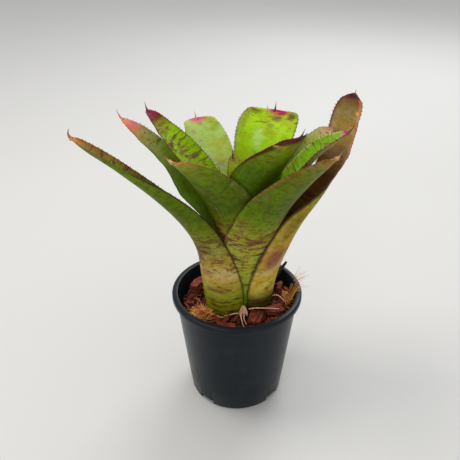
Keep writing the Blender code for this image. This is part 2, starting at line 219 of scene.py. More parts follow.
def store(mesh, name, kind, values):
    """Keeps a number, a vector or a colour on each point of a mesh."""
    layer = mesh.attributes.new(name, kind, "POINT")
    field = {"FLOAT": "value", "FLOAT_VECTOR": "vector", "FLOAT_COLOR": "color"}[kind]
    layer.data.foreach_set(field, np.asarray(values, np.float32).ravel())


def turned(degrees, axis):
    """A turn about an axis, as a matrix."""
    return Matrix.Rotation(math.radians(degrees), 4, axis)


def box_middle(node):
    """The middle of a solid's box, in millimetres."""
    low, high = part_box(node)
    return (np.array(low) + np.array(high)) / 2 / MM


def only(piece):
    """Makes a piece the one that operators act on."""
    bpy.ops.object.select_all(action="DESELECT")
    piece.select_set(True)
    bpy.context.view_layer.objects.active = piece


def edit_all():
    """Enters edit mode with every point of the active piece selected."""
    bpy.ops.object.mode_set(mode="EDIT")
    bpy.ops.mesh.select_all(action="SELECT")


def apply_all(piece):
    only(piece)
    for modifier in list(piece.modifiers):
        bpy.ops.object.modifier_apply(modifier=modifier.name)


print("piece helpers ready")

# %% Strands and bundles
def strand(path, radii, sides=5):
    """Points and faces of a tube along a path, closed at both ends."""
    path = np.array(path, float)
    radii = np.broadcast_to(radii, len(path))
    along = np.gradient(path, axis=0)
    along /= np.linalg.norm(along, axis=1)[:, None] + 1e-9
    guide = np.array([0.31, 0.52, 0.79]) if abs(along[0, 2]) < 0.7 else np.array([0.9, 0.3, 0.1])
    first = np.cross(along, guide)
    first /= np.linalg.norm(first, axis=1)[:, None]
    second = np.cross(along, first)
    turn = np.linspace(0, 2 * math.pi, sides, endpoint=False)
    rings = (path[:, None] + radii[:, None, None] * (first[:, None] * np.cos(turn)[None, :, None]
             + second[:, None] * np.sin(turn)[None, :, None]))
    points = list(rings.reshape(-1, 3)) + [path[0], path[-1]]
    start, end = len(points) - 2, len(points) - 1
    top = (len(path) - 1) * sides
    neighbours = [(j, (j + 1) % sides) for j in range(sides)]
    faces = [(i + j, i + sides + j, i + sides + k, i + k)
             for i in range(0, top, sides) for j, k in neighbours]
    for j, k in neighbours:
        faces += [(start, j, k), (end, top + k, top + j)]
    return points, faces


class Bundle:
    """Gathers many strands into one mesh, with a shade number on each point."""

    def __init__(self):
        self.points, self.faces, self.shades = [], [], []

    def add(self, points, faces, shade):
        start = len(self.points)
        self.points += list(points)
        self.faces += [tuple(start + i for i in face) for face in faces]
        self.shades += list(np.broadcast_to(shade, len(points)))

    def piece(self, name, material):
        mesh = bpy.data.meshes.new(name)
        mesh.from_pydata([tuple(p) for p in np.asarray(self.points) * MM], [], self.faces)
        mesh.shade_smooth()
        mesh.materials.append(material)
        store(mesh, "shade", "FLOAT", self.shades)
        bm = bmesh.new()
        bm.from_mesh(mesh)
        bmesh.ops.recalc_face_normals(bm, faces=bm.faces)
        bm.to_mesh(mesh)
        bm.free()
        return add_object(name, mesh)


print("strand helpers ready")

# %% [markdown]
# ## Camera, floor and light
# The plant stands on a pale floor and is seen from a little above, so that the mouth of the pot opens
# towards us. A large lamp above and behind gives the leaves their shine, and a bright sky fills in.

# %% Camera
camera_data = bpy.data.cameras.new("camera")
camera_data.sensor_width = 36
camera_data.lens = 43.83
camera = add_object("camera", camera_data)
camera.location = (-5.86 * MM, -387.8 * MM, 383.0 * MM)
camera.rotation_euler = (math.radians(90 - 30.09), 0, 0)
bpy.context.scene.camera = camera
print("camera at", tuple(round(v, 3) for v in camera.location))

# %% Floor
bpy.ops.mesh.primitive_plane_add(size=14, location=(0, 3, 0))
floor = bpy.context.object
floor.name = "floor"
paper = Paint("pale_floor", Roughness=0.6)
tone = paper.cloud(paper.place(), 1.3, 2)
pale = paper.mix(tone, (0.63, 0.62, 0.59), (0.68, 0.67, 0.64))
floor.data.materials.append(paper.finish(Base_Color=pale))
print("floor:", floor.dimensions[:2])

# %% Lamps and sky
def add_lamp(name, place, target, size, power, colour=(1, 1, 1)):
    data = bpy.data.lights.new(name, "AREA")
    data.size = size
    data.energy = power
    data.color = colour
    lamp = add_object(name, data)
    lamp.location = place
    lamp.rotation_euler = (Vector(target) - Vector(place)).to_track_quat("-Z", "Y").to_euler()


add_lamp("key", (-0.55, 0.1, 1.15), (0, 0, 0.12), 0.5, 5.0, (1, 0.985, 0.95))
add_lamp("back", (0.5, 1.2, 1.2), (0, 0.3, 0.1), 0.9, 11.0, (0.97, 0.98, 1))
add_lamp("front_strip", (-0.45, -1.0, 0.6), (0, 0, 0.08), 0.25, 1.5)
sky = bpy.data.worlds.new("sky")
sky.use_nodes = True
glow = sky.node_tree.nodes["Background"].inputs
glow["Color"].default_value = (0.96, 0.97, 1, 1)
glow["Strength"].default_value = 0.66
bpy.context.scene.world = sky
bpy.context.scene.view_settings.view_transform = "Standard"
print("lamps: 3")

# %% [markdown]
# ## The pot
# A nursery pot is pressed from one thin black sheet. Its band, the small step under it, the tapered wall
# and the foot are one outline, so the outline is drawn once and spun round the axis. The four drain
# notches are then cut through the foot.

# %% Sizes that the pot and the plant share
low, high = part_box("pot")
RIM_RADIUS = (high[0] - low[0]) / 2 / MM
POT_HEIGHT = (high[2] - low[2]) / MM
RIM_BAND, RIM_OVERHANG = 5.2, 3.4
BEAD_HEIGHT, BEAD_OVERHANG = 1.8, 0.8
FOOT_RADIUS, WALL, FLOOR_RISE = 40.8, 1.5, 2.2
FLOOR_TOP = FLOOR_RISE + 1.8
NOTCH_DEPTH, NOTCH_WIDTH, NOTCH_HEIGHT = 16, 14, 4.6
NOTCH_AZIMUTHS = (-130, -40, 50, 140)
SOIL_DEPTH = 16.0
SOIL = POT_HEIGHT - SOIL_DEPTH
PLANT_AXIS = (5.0, 3.0)
print("pot", round(RIM_RADIUS, 1), "by", round(POT_HEIGHT, 1), "mm, mix at", round(SOIL, 1))

# %% Outline of the wall
def wall_radius(height):
    top = RIM_RADIUS - RIM_OVERHANG
    return FOOT_RADIUS + (top - FOOT_RADIUS) * height / (POT_HEIGHT - RIM_BAND)


def bore_radius(height):
    return wall_radius(min(height, POT_HEIGHT - RIM_BAND)) - WALL


band = POT_HEIGHT - RIM_BAND
bead = band - BEAD_HEIGHT
bore = bore_radius(band)
beaded = wall_radius(band) + BEAD_OVERHANG
foot = [(0, 0.1), (17, 0.1), (21.4, FLOOR_RISE), (35.8, FLOOR_RISE), (37, 0.05), (39.2, 0.0), (40.2, 0.3),
        (40.75, 1.1)]
wall = [(wall_radius(height), height) for height in (20, 50, 80, bead - 1.5)]
step = [(wall_radius(bead), bead - 0.1), (wall_radius(bead) + 0.75, bead + 0.35), (beaded, bead + 0.9),
        (beaded, band - 0.1)]
rim = [(RIM_RADIUS - inset, band + rise) for inset, rise in ((0.9, 0), (0.2, 0.3), (0, 0.9))]
rim += [(RIM_RADIUS - inset, POT_HEIGHT - drop)
        for inset, drop in ((0, 1.7), (0.2, 0.8), (0.8, 0.2), (1.7, 0))]
lip = [(bore + over, POT_HEIGHT - drop) for over, drop in ((1.1, 0), (0.35, 0.25), (0, 1.0))]
inside = [(bore, band), (bore_radius(40), 40), (bore_radius(FLOOR_TOP + 0.1), FLOOR_TOP + 0.1),
          (20, FLOOR_TOP), (0, FLOOR_TOP - 0.1)]
OUTLINE = foot + wall + step + rim + lip + inside
print("outline points:", len(OUTLINE))

# %% Spin the pot and cut its notches
pot_mesh = bpy.data.meshes.new("nursery_pot")
pot_mesh.from_pydata([(r * MM, 0, z * MM) for r, z in OUTLINE],
                     [(i, i + 1) for i in range(len(OUTLINE) - 1)], [])
pot = add_object("nursery_pot", pot_mesh)
only(pot)
edit_all()
bpy.ops.mesh.spin(steps=144, angle=2 * math.pi, center=(0, 0, 0), axis=(0, 0, 1))
bpy.ops.mesh.select_all(action="SELECT")
bpy.ops.mesh.remove_doubles(threshold=0.02 * MM)
bpy.ops.mesh.normals_make_consistent(inside=False)
bpy.ops.object.mode_set(mode="OBJECT")
cutters = []
for azimuth in NOTCH_AZIMUTHS:
    bpy.ops.mesh.primitive_cube_add(size=1, location=(0, 0, 0))
    cutter = bpy.context.object
    bpy.ops.transform.resize(value=(NOTCH_DEPTH * MM, NOTCH_WIDTH * MM, 2 * NOTCH_HEIGHT * MM))
    bpy.ops.transform.translate(value=((FOOT_RADIUS + 1) * MM, 0, 0))
    bpy.ops.object.transform_apply(location=True, rotation=True, scale=True)
    cutter.data.transform(turned(azimuth, "Z"))
    cut = pot.modifiers.new("notch", "BOOLEAN")
    cut.operation = "DIFFERENCE"
    cut.object = cutter
    cutters.append(cutter)
apply_all(pot)
for cutter in cutters:
    bpy.data.objects.remove(cutter)
only(pot)
bpy.ops.object.shade_smooth_by_angle(angle=math.radians(40))
finish_piece(pot, "pot_plastic", "pot")
print("pot faces:", len(pot.data.polygons))

# %% [markdown]
# The plastic is black and satin. It has fine scuffs that run round the wall, a little dust, and the dull
# patches that handling leaves, so its roughness varies and the bump is very low.

# %% Black plastic
plastic = Paint("black_plastic", IOR=1.4, Specular_IOR_Level=0.24)
spot = plastic.place()
scuff = plastic.cloud(plastic.stretch(spot, (14, 14, 150)), 9, 4, 0.7)
dust = plastic.step(plastic.cloud(spot, 55, 5, 0.7), 0.5, 0.72)
grain = plastic.cloud(spot, 900, 2)
speck = plastic.step(plastic.cloud(spot, 420, 2, 0.5), 0.7, 0.78)
nick = plastic.step(plastic.cloud(plastic.stretch(spot, (60, 60, 130), (2, 5, 1)), 1, 2, 0.5), 0.73, 0.77)
dusty = plastic.mix(dust * 0.3 + speck * 0.25, card(20, 28, 34), card(52, 58, 64))
black = plastic.mix(nick * 0.85, dusty, card(3, 4, 6))
rub = scuff * 0.16 + dust * 0.16 + 0.22
lift = plastic.bump(grain * 0.35 + scuff * 0.65, 0.12, 0.0004)
pot.data.materials.append(plastic.finish(Base_Color=black, Roughness=rub, Normal=lift))
print("pot material:", pot.data.materials[0].name)

# %% [markdown]
# ## Bark and husk
# The mix is chopped coconut husk and bark. Its bed is a disc whose surface is pushed up and down by
# noise, so that no flat floor shows between the loose pieces that are laid on it afterwards.

# %% Bed of the mix
MIX_RADIUS = bore_radius(SOIL)
BED_RINGS, RING_WIDTH, SKIRT_DEPTH = 26, 1.75, 10
bpy.ops.mesh.primitive_circle_add(vertices=96, radius=(MIX_RADIUS - 0.6) * MM, fill_type="NGON",
                                  location=(0, 0, (SOIL - 1.5) * MM))
bed = bpy.context.object
bed.name = "mix_bed"
bpy.ops.object.transform_apply(location=True)
edit_all()
for _ in range(BED_RINGS):
    bpy.ops.mesh.inset(thickness=RING_WIDTH * MM)
bpy.ops.mesh.poke()
bpy.ops.object.mode_set(mode="OBJECT")
bm = bmesh.new()
bm.from_mesh(bed.data)
for vert in bm.verts:
    spot_mm = vert.co / MM
    inside = ease((MIX_RADIUS - 1 - spot_mm.xy.length) / 6)
    rough = noise.fractal(spot_mm * 0.11, 0.7, 2.1, 5) * 2.4 + noise.noise(spot_mm * 0.55) * 0.9
    vert.co.z += (rough * (0.35 + 0.65 * inside) - 1.2 * (1 - inside)) * MM
border = [edge for edge in bm.edges if edge.is_boundary]
skirt = bmesh.ops.extrude_edge_only(bm, edges=border)["geom"]
skirt_points = [part for part in skirt if isinstance(part, bmesh.types.BMVert)]
bmesh.ops.translate(bm, verts=skirt_points, vec=(0, 0, -SKIRT_DEPTH * MM))
for vert in skirt_points:
    vert.co.xy *= 0.985
bmesh.ops.contextual_create(bm, geom=[e for e in bm.edges if e.is_boundary])
bmesh.ops.recalc_face_normals(bm, faces=bm.faces)
bm.to_mesh(bed.data)
bm.free()
bed.data.shade_smooth()
finish_piece(bed, "bark_mix", "potting_mix")
print("bed faces:", len(bed.data.polygons))

# %% Dark fibrous ground
ground = Paint("husk_ground", Roughness=0.95)
spot = ground.place()
crumbs = ground.cloud(spot, 260, 5, 0.75)
lumps = ground.cloud(spot, 85, 4)
rust = ground.ramp(crumbs * 0.6 + lumps * 0.4, (0.25, card(14, 5, 3)), (0.5, card(52, 16, 6)),
                   (0.68, card(104, 38, 12)), (0.85, card(150, 74, 28)))
rise = ground.bump(crumbs + lumps, 0.9, 0.0016)
bed.data.materials.append(ground.finish(Base_Color=rust, Normal=rise))
print("ground ready")

# %% [markdown]
# Husk breaks along its fibres, so a chip is a block with a fine grain along its length, splintered ends
# and lifted splinters. A cube is cut into many slices across its width and height, each slice is moved
# by a smooth random amount, and the ends are drawn in and out slice by slice.

# %% Husk and bark finish
def husk_finish(name, dark, warm, pale):
    husk = Paint(name, Roughness=0.85)
    grain = husk.attribute("grain", "Vector")
    lines = husk.cloud(husk.stretch(grain, (0.07, 1.4, 1.4)), 1.0, 4, 0.65)
    stain = husk.cloud(grain, 0.16, 3)
    wood = husk.ramp(lines * 0.72 + stain * 0.28, (0.36, dark), (0.5, warm), (0.68, pale))
    rise = husk.bump(lines, 0.75, 0.0007)
    return husk.finish(Base_Color=wood, Roughness=0.68 + lines * 0.25, Normal=rise)


HUSK = husk_finish("red_husk", card(22, 5, 3), card(108, 34, 12), card(196, 96, 44))
BARK = husk_finish("dark_bark", card(16, 12, 11), card(38, 28, 24), card(74, 58, 48))
print("husk finishes:", HUSK.name, BARK.name)

# %% Shape of a chip
def shape_chip(name, size, seed, material, splinter=1.6, narrow=0.12):
    """A grained block in millimetres, lying along X with its middle at the origin."""
    bpy.ops.mesh.primitive_cube_add(size=1)
    chip = bpy.context.object
    chip.name = name
    edit_all()
    bpy.ops.mesh.subdivide(number_cuts=13)
    bpy.ops.object.mode_set(mode="OBJECT")
    length, width, height = size
    bm = bmesh.new()
    bm.from_mesh(chip.data)
    drift = Vector((seed * 7.3, seed * 3.1, seed * 5.7))
    for vert in bm.verts:
        x, y, z = vert.co
        fibre = noise.noise(Vector((y * width * 0.8, z * height * 0.8, seed)) + drift)
        run = noise.fractal(Vector((x * length * 0.09, y * width * 0.6, z * height * 0.6)) + drift, 0.8, 2, 3)
        taper = 1 - narrow * (2 * x) ** 2
        end = splinter * fibre * abs(2 * x) ** 3 * 2.2
        vert.co = Vector((x * length + math.copysign(end, x), y * width * taper + 0.5 * run,
                          z * height * taper + 0.65 * run + 0.25 * fibre))
    bm.to_mesh(chip.data)
    bm.free()
    store(chip.data, "grain", "FLOAT_VECTOR", [c + seed * 11 for v in chip.data.vertices for c in v.co])
    chip.data.materials.append(material)
    chip.data.shade_smooth()
    return chip


print("chip cutter ready")

# %% Lay the large chips
def lay_chip(chip, turn, tilt, middle, bottom):
    """Turns a chip and rests its lowest point at a height, all in its mesh."""
    mesh = chip.data
    mesh.transform(turned(turn, "Z") @ turned(tilt, "Y"))
    lowest = min(vert.co.z for vert in mesh.vertices)
    mesh.transform(Matrix.Translation((middle[0], middle[1], bottom - lowest)))
    mesh.transform(Matrix.Scale(MM, 4))


# length, width, height, turn and tilt of each large chip
CHIPS = {
    "husk_chip_left": (20, 8, 9, 68, 8), "husk_chip_front": (18, 12, 6, 75, 6),
    "husk_chip_front_right": (15, 11, 5, 20, 9), "husk_chip_upright": (10, 5, 11, 75, 0),
    "husk_chip_front_left": (13, 8, 4, 10, 7), "husk_chip_back": (17, 10, 6, 15, 8),
    "husk_chip_back_left": (14, 9, 5, 40, 10),
}
for number, (node, (length, width, height, turn, tilt)) in enumerate(CHIPS.items()):
    chip = shape_chip(node + "_grained", (length * 0.9, width * 0.9, height * 0.95), 3 + number, HUSK)
    lay_chip(chip, turn, tilt, box_middle(node), SOIL - 0.5)
    finish_piece(chip, "husk", node)
print("large chips:", len(CHIPS))

# %% [markdown]
# Smaller crumbs fill the bed between the large chips. Each is a short block of six faces with its own
# turn and tilt, kept off the leaf bases and off the wall, and joined into one mesh.

# %% Crumbs
draw = random.Random(5)
CRUMB_COUNT = 420
LEAF_BASES = [((-10, 3), 18.5), ((14, 2), 15.5), ((5, 3), 13.5)]
CORNERS = [(x, y, z) for z in (-1, 1) for x, y in ((-1, -1), (1, -1), (1, 1), (-1, 1))]
SIDES = [(0, 3, 2, 1), (4, 5, 6, 7), (0, 1, 5, 4), (1, 2, 6, 5), (2, 3, 7, 6), (3, 0, 4, 7)]


def on_open_mix(x, y, margin):
    if math.hypot(x, y) > MIX_RADIUS - margin:
        return False
    return all(math.hypot(x - cx, y - cy) > radius + margin * 0.7 for (cx, cy), radius in LEAF_BASES)


crumbs = Bundle()
grains = []
while len(crumbs.points) < len(CORNERS) * CRUMB_COUNT:
    x, y = draw.uniform(-50, 50), draw.uniform(-50, 50)
    length = draw.choice((2.2, 3.0, 4.2, 6.0, 7.5))
    if not on_open_mix(x, y, length * 0.5 + 0.8):
        continue
    width, height = length * draw.uniform(0.3, 0.6), length * draw.uniform(0.2, 0.4)
    spin, pitch, roll = draw.uniform(0, math.tau), draw.uniform(-0.7, 0.7), draw.uniform(-0.8, 0.8)
    turn = Matrix.Rotation(spin, 3, "Z") @ Matrix.Rotation(pitch, 3, "Y") @ Matrix.Rotation(roll, 3, "X")
    centre = Vector((x, y, SOIL - 0.8 + draw.uniform(0, 2.2)))
    corners = []
    for sx, sy, sz in CORNERS:
        shrink = draw.uniform(0.6, 1)
        corner = Vector((sx * length, sy * width * shrink, sz * height * draw.uniform(0.6, 1))) / 2
        corners.append(centre + turn @ corner)
        grains.append(corner + Vector((x, y, 0)) * 3)
    crumbs.add(corners, SIDES, draw.random())
small = crumbs.piece("husk_crumbs", HUSK)
store(small.data, "grain", "FLOAT_VECTOR", grains)
small.data.shade_flat()
finish_piece(small, "husk")
print("crumbs:", CRUMB_COUNT)

# %% [markdown]
# A dark splinter of bark leans on the mouth of the pot, behind the plant on the right.

# %% Bark shard
SHARD_SIZE = (31.0, 7.4, 2.4)
SHARD_LEAN, SHARD_AZIMUTH = 46, 35
shard = shape_chip("bark_shard_split", SHARD_SIZE, 17, BARK, splinter=1.0, narrow=0.0)
for vert in shard.data.vertices:
    share = vert.co.x / SHARD_SIZE[0] + 0.5
    vert.co.y *= 1 - 0.72 * share
    vert.co.z *= 1 - 0.55 * share
    vert.co.z += 0.8 * math.sin(share * 4)
shard.data.transform(turned(SHARD_AZIMUTH, "Z") @ turned(SHARD_LEAN - 90, "Y"))
points = np.array([v.co for v in shard.data.vertices])
centred = Vector(box_middle("bark_shard") - (points.min(0) + points.max(0)) / 2)
shard.data.transform(Matrix.Scale(MM, 4) @ Matrix.Translation(centred))
finish_piece(shard, "bark", "bark_shard")
print("shard length:", SHARD_SIZE[0], "mm")

# %% [markdown]
# ## Coir tufts and roots
# Loose coir is a nest of thin stiff fibres. Each fibre is a swept strand whose path is a short curve in
# a flattened ball. Dry roots are thicker strands that lie over the chips.

# %% Fibre finish
def fibre_finish(name, dark, pale):
    fibre = Paint(name, Roughness=0.6)
    shade = fibre.attribute("shade")
    tint = fibre.cloud(fibre.place(), 320, 2)
    colour = fibre.mix(fibre.step(shade * 0.75 + tint * 0.4, 0.1, 0.95), dark, pale)
    return fibre.finish(Base_Color=colour, Normal=fibre.bump(tint, 0.3, 0.0003))


COIR = fibre_finish("orange_coir", card(186, 64, 6), card(255, 196, 104))
ROOT = fibre_finish("dry_root", card(176, 100, 64), card(255, 208, 168))


def nest(bundle, draw, low, high, count, longest, radius):
    """Adds curved fibres that fill a box like a loose ball."""
    low, high = np.array(low) / MM, np.array(high) / MM
    middle, half = (low + high) / 2, (high - low) / 2
    for _ in range(count):
        bearing, height = draw.uniform(0, math.tau), draw.uniform(-0.9, 1)
        reach = math.sqrt(draw.random())
        out = [reach * math.cos(bearing), reach * math.sin(bearing), height * (1 - 0.6 * reach)]
        centre = middle + half * np.array(out)
        heading = draw.uniform(0, math.tau)
        aim = np.array([math.cos(heading), math.sin(heading), draw.uniform(-0.35, 0.6)])
        bend = np.array([draw.uniform(-1, 1), draw.uniform(-1, 1), draw.uniform(-0.5, 0.6)])
        length = draw.uniform(0.35, 1) * longest
        share = np.linspace(-0.5, 0.5, 7)[:, None]
        path = centre + aim * share * length + bend * (share**2) * length * 0.9
        path[:, 2] = np.maximum(path[:, 2], SOIL - 0.5)
        width = radius * draw.uniform(0.6, 1.2) * np.array([0.6, 1, 1, 1, 0.9, 0.7, 0.35])
        bundle.add(*strand(path, width, 4), draw.random())


print("fibre tools ready")

# %% Tufts
draw = random.Random(8)
for node, count, longest in (("coir_tuft_left", 190, 11), ("coir_tuft_right", 60, 10)):
    tuft = Bundle()
    nest(tuft, draw, *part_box(node), count, longest, 0.3)
    finish_piece(tuft.piece(node + "_fibres", COIR), "coir", node)
    print(node, "fibres:", count)

# %% Wisps over the rim
WISP_COUNT = 16
wisps = Bundle()
for _ in range(WISP_COUNT):
    y, sweep = draw.uniform(-4, 14), draw.uniform(-7, 7)
    height, reach = draw.uniform(2, 9), draw.uniform(55, 63)
    path = [(46, y, SOIL + 4), (49.5, y + 0.2 * sweep, SOIL + 15),
            (53, y + 0.5 * sweep, POT_HEIGHT + height * 0.7), (reach, y + sweep, POT_HEIGHT + height)]
    smooth = through(path, np.linspace(0, 3, 12))
    wisps.add(*strand(smooth, np.linspace(0.24, 0.08, 12), 4), draw.uniform(0.3, 1))
finish_piece(wisps.piece("coir_wisps", COIR), "coir")
print("wisps:", WISP_COUNT)

# %% Loose fibres over the mix
draw = random.Random(21)
LITTER_COUNT = 130
litter = Bundle()
placed = 0
while placed < LITTER_COUNT:
    x, y = draw.uniform(-47, 47), draw.uniform(-47, 47)
    if not on_open_mix(x, y, 3.5):
        continue
    spot_mm = np.array([x, y, SOIL + draw.uniform(0.3, 2.4)])
    nest(litter, draw, (spot_mm - 1.5) * MM, (spot_mm + 1.5) * MM, 1, draw.uniform(5, 12), 0.2)
    placed += 1
finish_piece(litter.piece("husk_strands", COIR), "coir")
print("loose fibres:", placed)

# %% Dry roots
ROOTS = {
    "root_left": [(1.2, -18.1, 3.5), (-3, -19.1, 3.6), (-7, -19.4, 2.6), (-11, -19.1, 1.3)],
    "root_right": [(9.8, -17.6, 7.5), (15, -18.6, 9.3), (22, -18.6, 9.2), (29, -17.6, 8.2), (35, -17.2, 7.3)],
    "root_front": [(3.4, -19.0, 4.0), (3.2, -23, 3.4), (4.2, -28, 2.0), (5.2, -33, 1.2)],
    "root_front_low": [(6.0, -19.4, 3.0), (5.6, -23, 2.2), (6.8, -27, 1.4), (7.6, -30, 1.2)],
    "root_arch": [(30.6, 3.0, 6.0), (34, 1.6, 7.6), (37.5, -0.8, 7.4), (40.5, -4.6, 5.6)],
}
share = np.linspace(0, 1, 26)
for number, (node, stations) in enumerate(ROOTS.items()):
    path = through([(x, y, SOIL + h) for x, y, h in stations], share * (len(stations) - 1))
    knots = 1 + 0.16 * np.sin(share * 37 + number * 2) + 0.1 * np.sin(share * 83)
    root = Bundle()
    root.add(*strand(path, 0.52 * knots * (1 - 0.45 * share), 8), 0.95)
    finish_piece(root.piece(node + "_fibre", ROOT), "dry_root", node)
print("roots:", len(ROOTS))

# %% Withered scale between the outer leaves
low, high = np.array(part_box("dry_scale")) / MM
depth = box_middle("dry_scale")[1] - 0.4
scale = Bundle()
draw = random.Random(4)
STRANDS = 16
for share in np.linspace(0, 1, STRANDS):
    foot = np.array([low[0] + 6 * share, depth + draw.uniform(-0.4, 0.4), SOIL - 0.5])
    tip = np.array([low[0] + 2.0 + 2.2 * share, foot[1] + 0.3, high[2] - draw.uniform(0, 3)])
    bulge = np.array([(share - 0.5) * 2.34, -0.6, 0])
    path = [foot + (tip - foot) * s + bulge * math.sin(math.pi * s) for s in np.linspace(0, 1, 7)]
    scale.add(*strand(path, [0.3, 0.4, 0.42, 0.4, 0.34, 0.26, 0.16], 5), draw.uniform(0.75, 1.2))
finish_piece(scale.piece("dry_scale_fibres", ROOT), "dry_leaf", "dry_scale")
print("scale strands:", STRANDS)

# %% [markdown]
# ## The stem
# Only the growing tip of the stem could be glimpsed, deep in the cup. Its solid already has the right
# shape, so it keeps it and only gets a finish.

# %% Stem finish
pith = Paint("pale_stem", Roughness=0.55)
spot = pith.place()
rings = pith.cloud(pith.stretch(spot, (40, 40, 700)), 1, 3)
flesh = pith.mix(rings, card(120, 132, 52), card(196, 198, 128))
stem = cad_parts["stem"]
stem.data.materials.clear()
stem.data.materials.append(pith.finish(Base_Color=flesh, Normal=pith.bump(rings, 0.3, 0.0005)))
print("stem finish:", stem.data.materials[0].name)

# %% [markdown]
# ## The leaves
# A leaf of this plant is a strap. Its base is rolled into part of a funnel, each leaf inside the last,
# and the blade opens out of it into a channel that bends away. Its middle line lies in one upright plane.
# Every leaf is given as a few stations: how far out, how high, how wide and how strongly cupped it is,
# and a smooth curve runs through them. A flat grid is added for each leaf, and its points are carried
# onto that curved surface. Modelling each one by hand from a grid would give less control of how the
# leaves nest, because they lie only half a millimetre apart.

# %% Stations of the leaves
LEAF_THICKNESS, SHEATH_GAP = 1.1, 0.45
FUNNEL_RADIUS, FUNNEL_FLARE = 12.0, 0.155
TIP_START, TIP_BLUNTNESS, TIP_HALF = 0.9, 2.2, 0.5
# azimuth of the midrib, and turn, how far it swings on its way out, in degrees.
# sheath: (layer from the outside, height of its foot and its collar, degrees of wrap at each).
# blade: (reach, height, half width, cup in degrees, roll in degrees) of each station.
# skew and slide push the strap round the funnel, in degrees.
LEAVES = {
    "leaf_outer_left": dict(
        azimuth=194, turn=-6, slide=(16, 16, 19, 21, 18, 5, 0, 0),
        blade=[(31, 0, 34.8, 116, 0), (34.5, 30, 35, 100, 0), (38.5, 60, 27.5, 88, 0), (50, 84, 21.5, 87, 0),
               (70, 108, 16, 80, 0), (95, 131, 11, 60, 0), (114, 146, 8, 56, 0), (125, 157, 4, 50, 0)]),
    "leaf_outer_right": dict(
        azimuth=3, turn=27, slide=(-8, -19, -22, -17, -2, 0, 0, 0),
        blade=[(24.5, 0, 29, 107, 0), (27.5, 27, 28.5, 89, 0), (35, 53, 27.6, 78, 0), (47.6, 79, 23, 83, 0),
               (67, 103, 16, 66, 8), (86, 129, 14, 35, 18), (98, 153, 12.5, 25, 20), (103, 168, 9, 20, 20)]),
    "leaf_front_right": dict(
        azimuth=-32, skew=-30, sheath=(0, 0, 55, 105, 94),
        blade=[(28, 78, 30, 66, 0), (38, 101, 26, 54, -6), (53, 124, 20, 50, -8), (67, 142, 12, 50, -8),
               (74, 151, 5, 50, -8)]),
    "leaf_front_left": dict(
        azimuth=-146, skew=38, sheath=(1.35, 3, 50, 74, 54),
        blade=[(22.3, 77, 22.4, 53.5, 4), (31, 101, 24, 49, 8), (42.5, 122, 21, 44, 10),
               (55, 138, 14, 44, 10), (63, 146, 6, 40, 10)]),
    "leaf_left": dict(
        azimuth=167, skew=-17, sheath=(2.3, 6, 52, 48, 36),
        blade=[(30.6, 80, 18.6, 53, 0), (50, 101, 16.4, 46, 0), (62, 123, 13, 42, 0), (80, 142, 11, 38, 0),
               (97, 158, 5, 34, 0)]),
    "leaf_back_right": dict(
        azimuth=32, turn=-7, sheath=(2, 6, 60, 54, 50),
        blade=[(29, 88, 17, 48, 0), (45, 112, 17, 42, 0), (60, 129, 15, 38, 0), (70, 140, 11, 34, 0),
               (77, 146, 6, 30, 0)]),
    "leaf_right": dict(
        azimuth=-5, turn=-3, sheath=(3, 8, 60, 58, 52),
        blade=[(27, 94, 20.6, 49, 0), (41, 120, 20, 48, 0), (56, 141, 16, 48, 0), (68, 152, 9, 48, 0),
               (75, 158, 4, 48, 0)]),
    "leaf_back": dict(
        azimuth=121, sheath=(3.6, 8, 62, 53, 39),
        blade=[(27.5, 92, 14, 37, 0), (45, 113, 18, 36, 0), (60, 128, 19, 30, 0), (70, 138, 16, 26, 0),
               (77, 143, 12, 22, 0)]),
    "leaf_back_left": dict(
        azimuth=157, sheath=(4.7, 10, 62, 52, 42),
        blade=[(25.5, 94, 16.5, 43, 0), (41.5, 117, 18.5, 40, 0), (59, 136, 16, 35, 0), (73, 151, 10, 32, 0),
               (82, 161, 5, 30, 0)]),
    "leaf_front_inner": dict(
        azimuth=-50, skew=-16, sheath=(4.3, 10, 64, 60, 54),
        blade=[(19.5, 98, 23.5, 56, 0), (28.5, 126, 26, 50, 0), (43, 148, 21, 40, 0), (51, 160, 14, 34, 0),
               (56, 167, 9, 30, 0)]),
    "leaf_back_inner": dict(
        azimuth=66, sheath=(5.8, 18, 62, 56, 50),
        blade=[(24, 96, 19.7, 46, 0), (36, 120, 23.7, 38, 0), (48, 138, 26, 30, 0), (58, 147, 24, 26, 0),
               (65, 152, 18, 24, 0)]),
    "leaf_young_back": dict(
        azimuth=105, sheath=(6.9, 22, 66, 42, 38),
        blade=[(17, 86, 9, 40, 0), (22, 98, 8, 38, 0), (27, 109, 7, 36, 0), (31, 117, 5, 30, 0),
               (34, 122, 3, 28, 0)]),
    "leaf_young_front": dict(
        azimuth=-150, sheath=(6.9, 22, 60, 44, 40),
        blade=[(11.5, 76, 8, 44, 0), (13, 90, 7, 40, 0), (15, 103, 6, 40, 0), (17, 113, 5, 40, 0),
               (20, 121, 3, 40, 0)]),
}
print("leaves:", len(LEAVES))

# %% The surface of a leaf
def sheath_radius(layer, height):
    return FUNNEL_RADIUS + FUNNEL_FLARE * height - layer * (LEAF_THICKNESS + SHEATH_GAP)


def leaf_stations(leaf):
    stations = []
    if "sheath" in leaf:
        layer, base, collar, wrap_base, wrap_collar = leaf["sheath"]
        for share in (0, 0.5, 1):
            height = base + (collar - base) * share
            wrap = wrap_base + (wrap_collar - wrap_base) * share
            radius = sheath_radius(layer, height)
            stations.append((radius, height, radius * math.radians(wrap), wrap, 0))
    return stations + list(leaf["blade"])


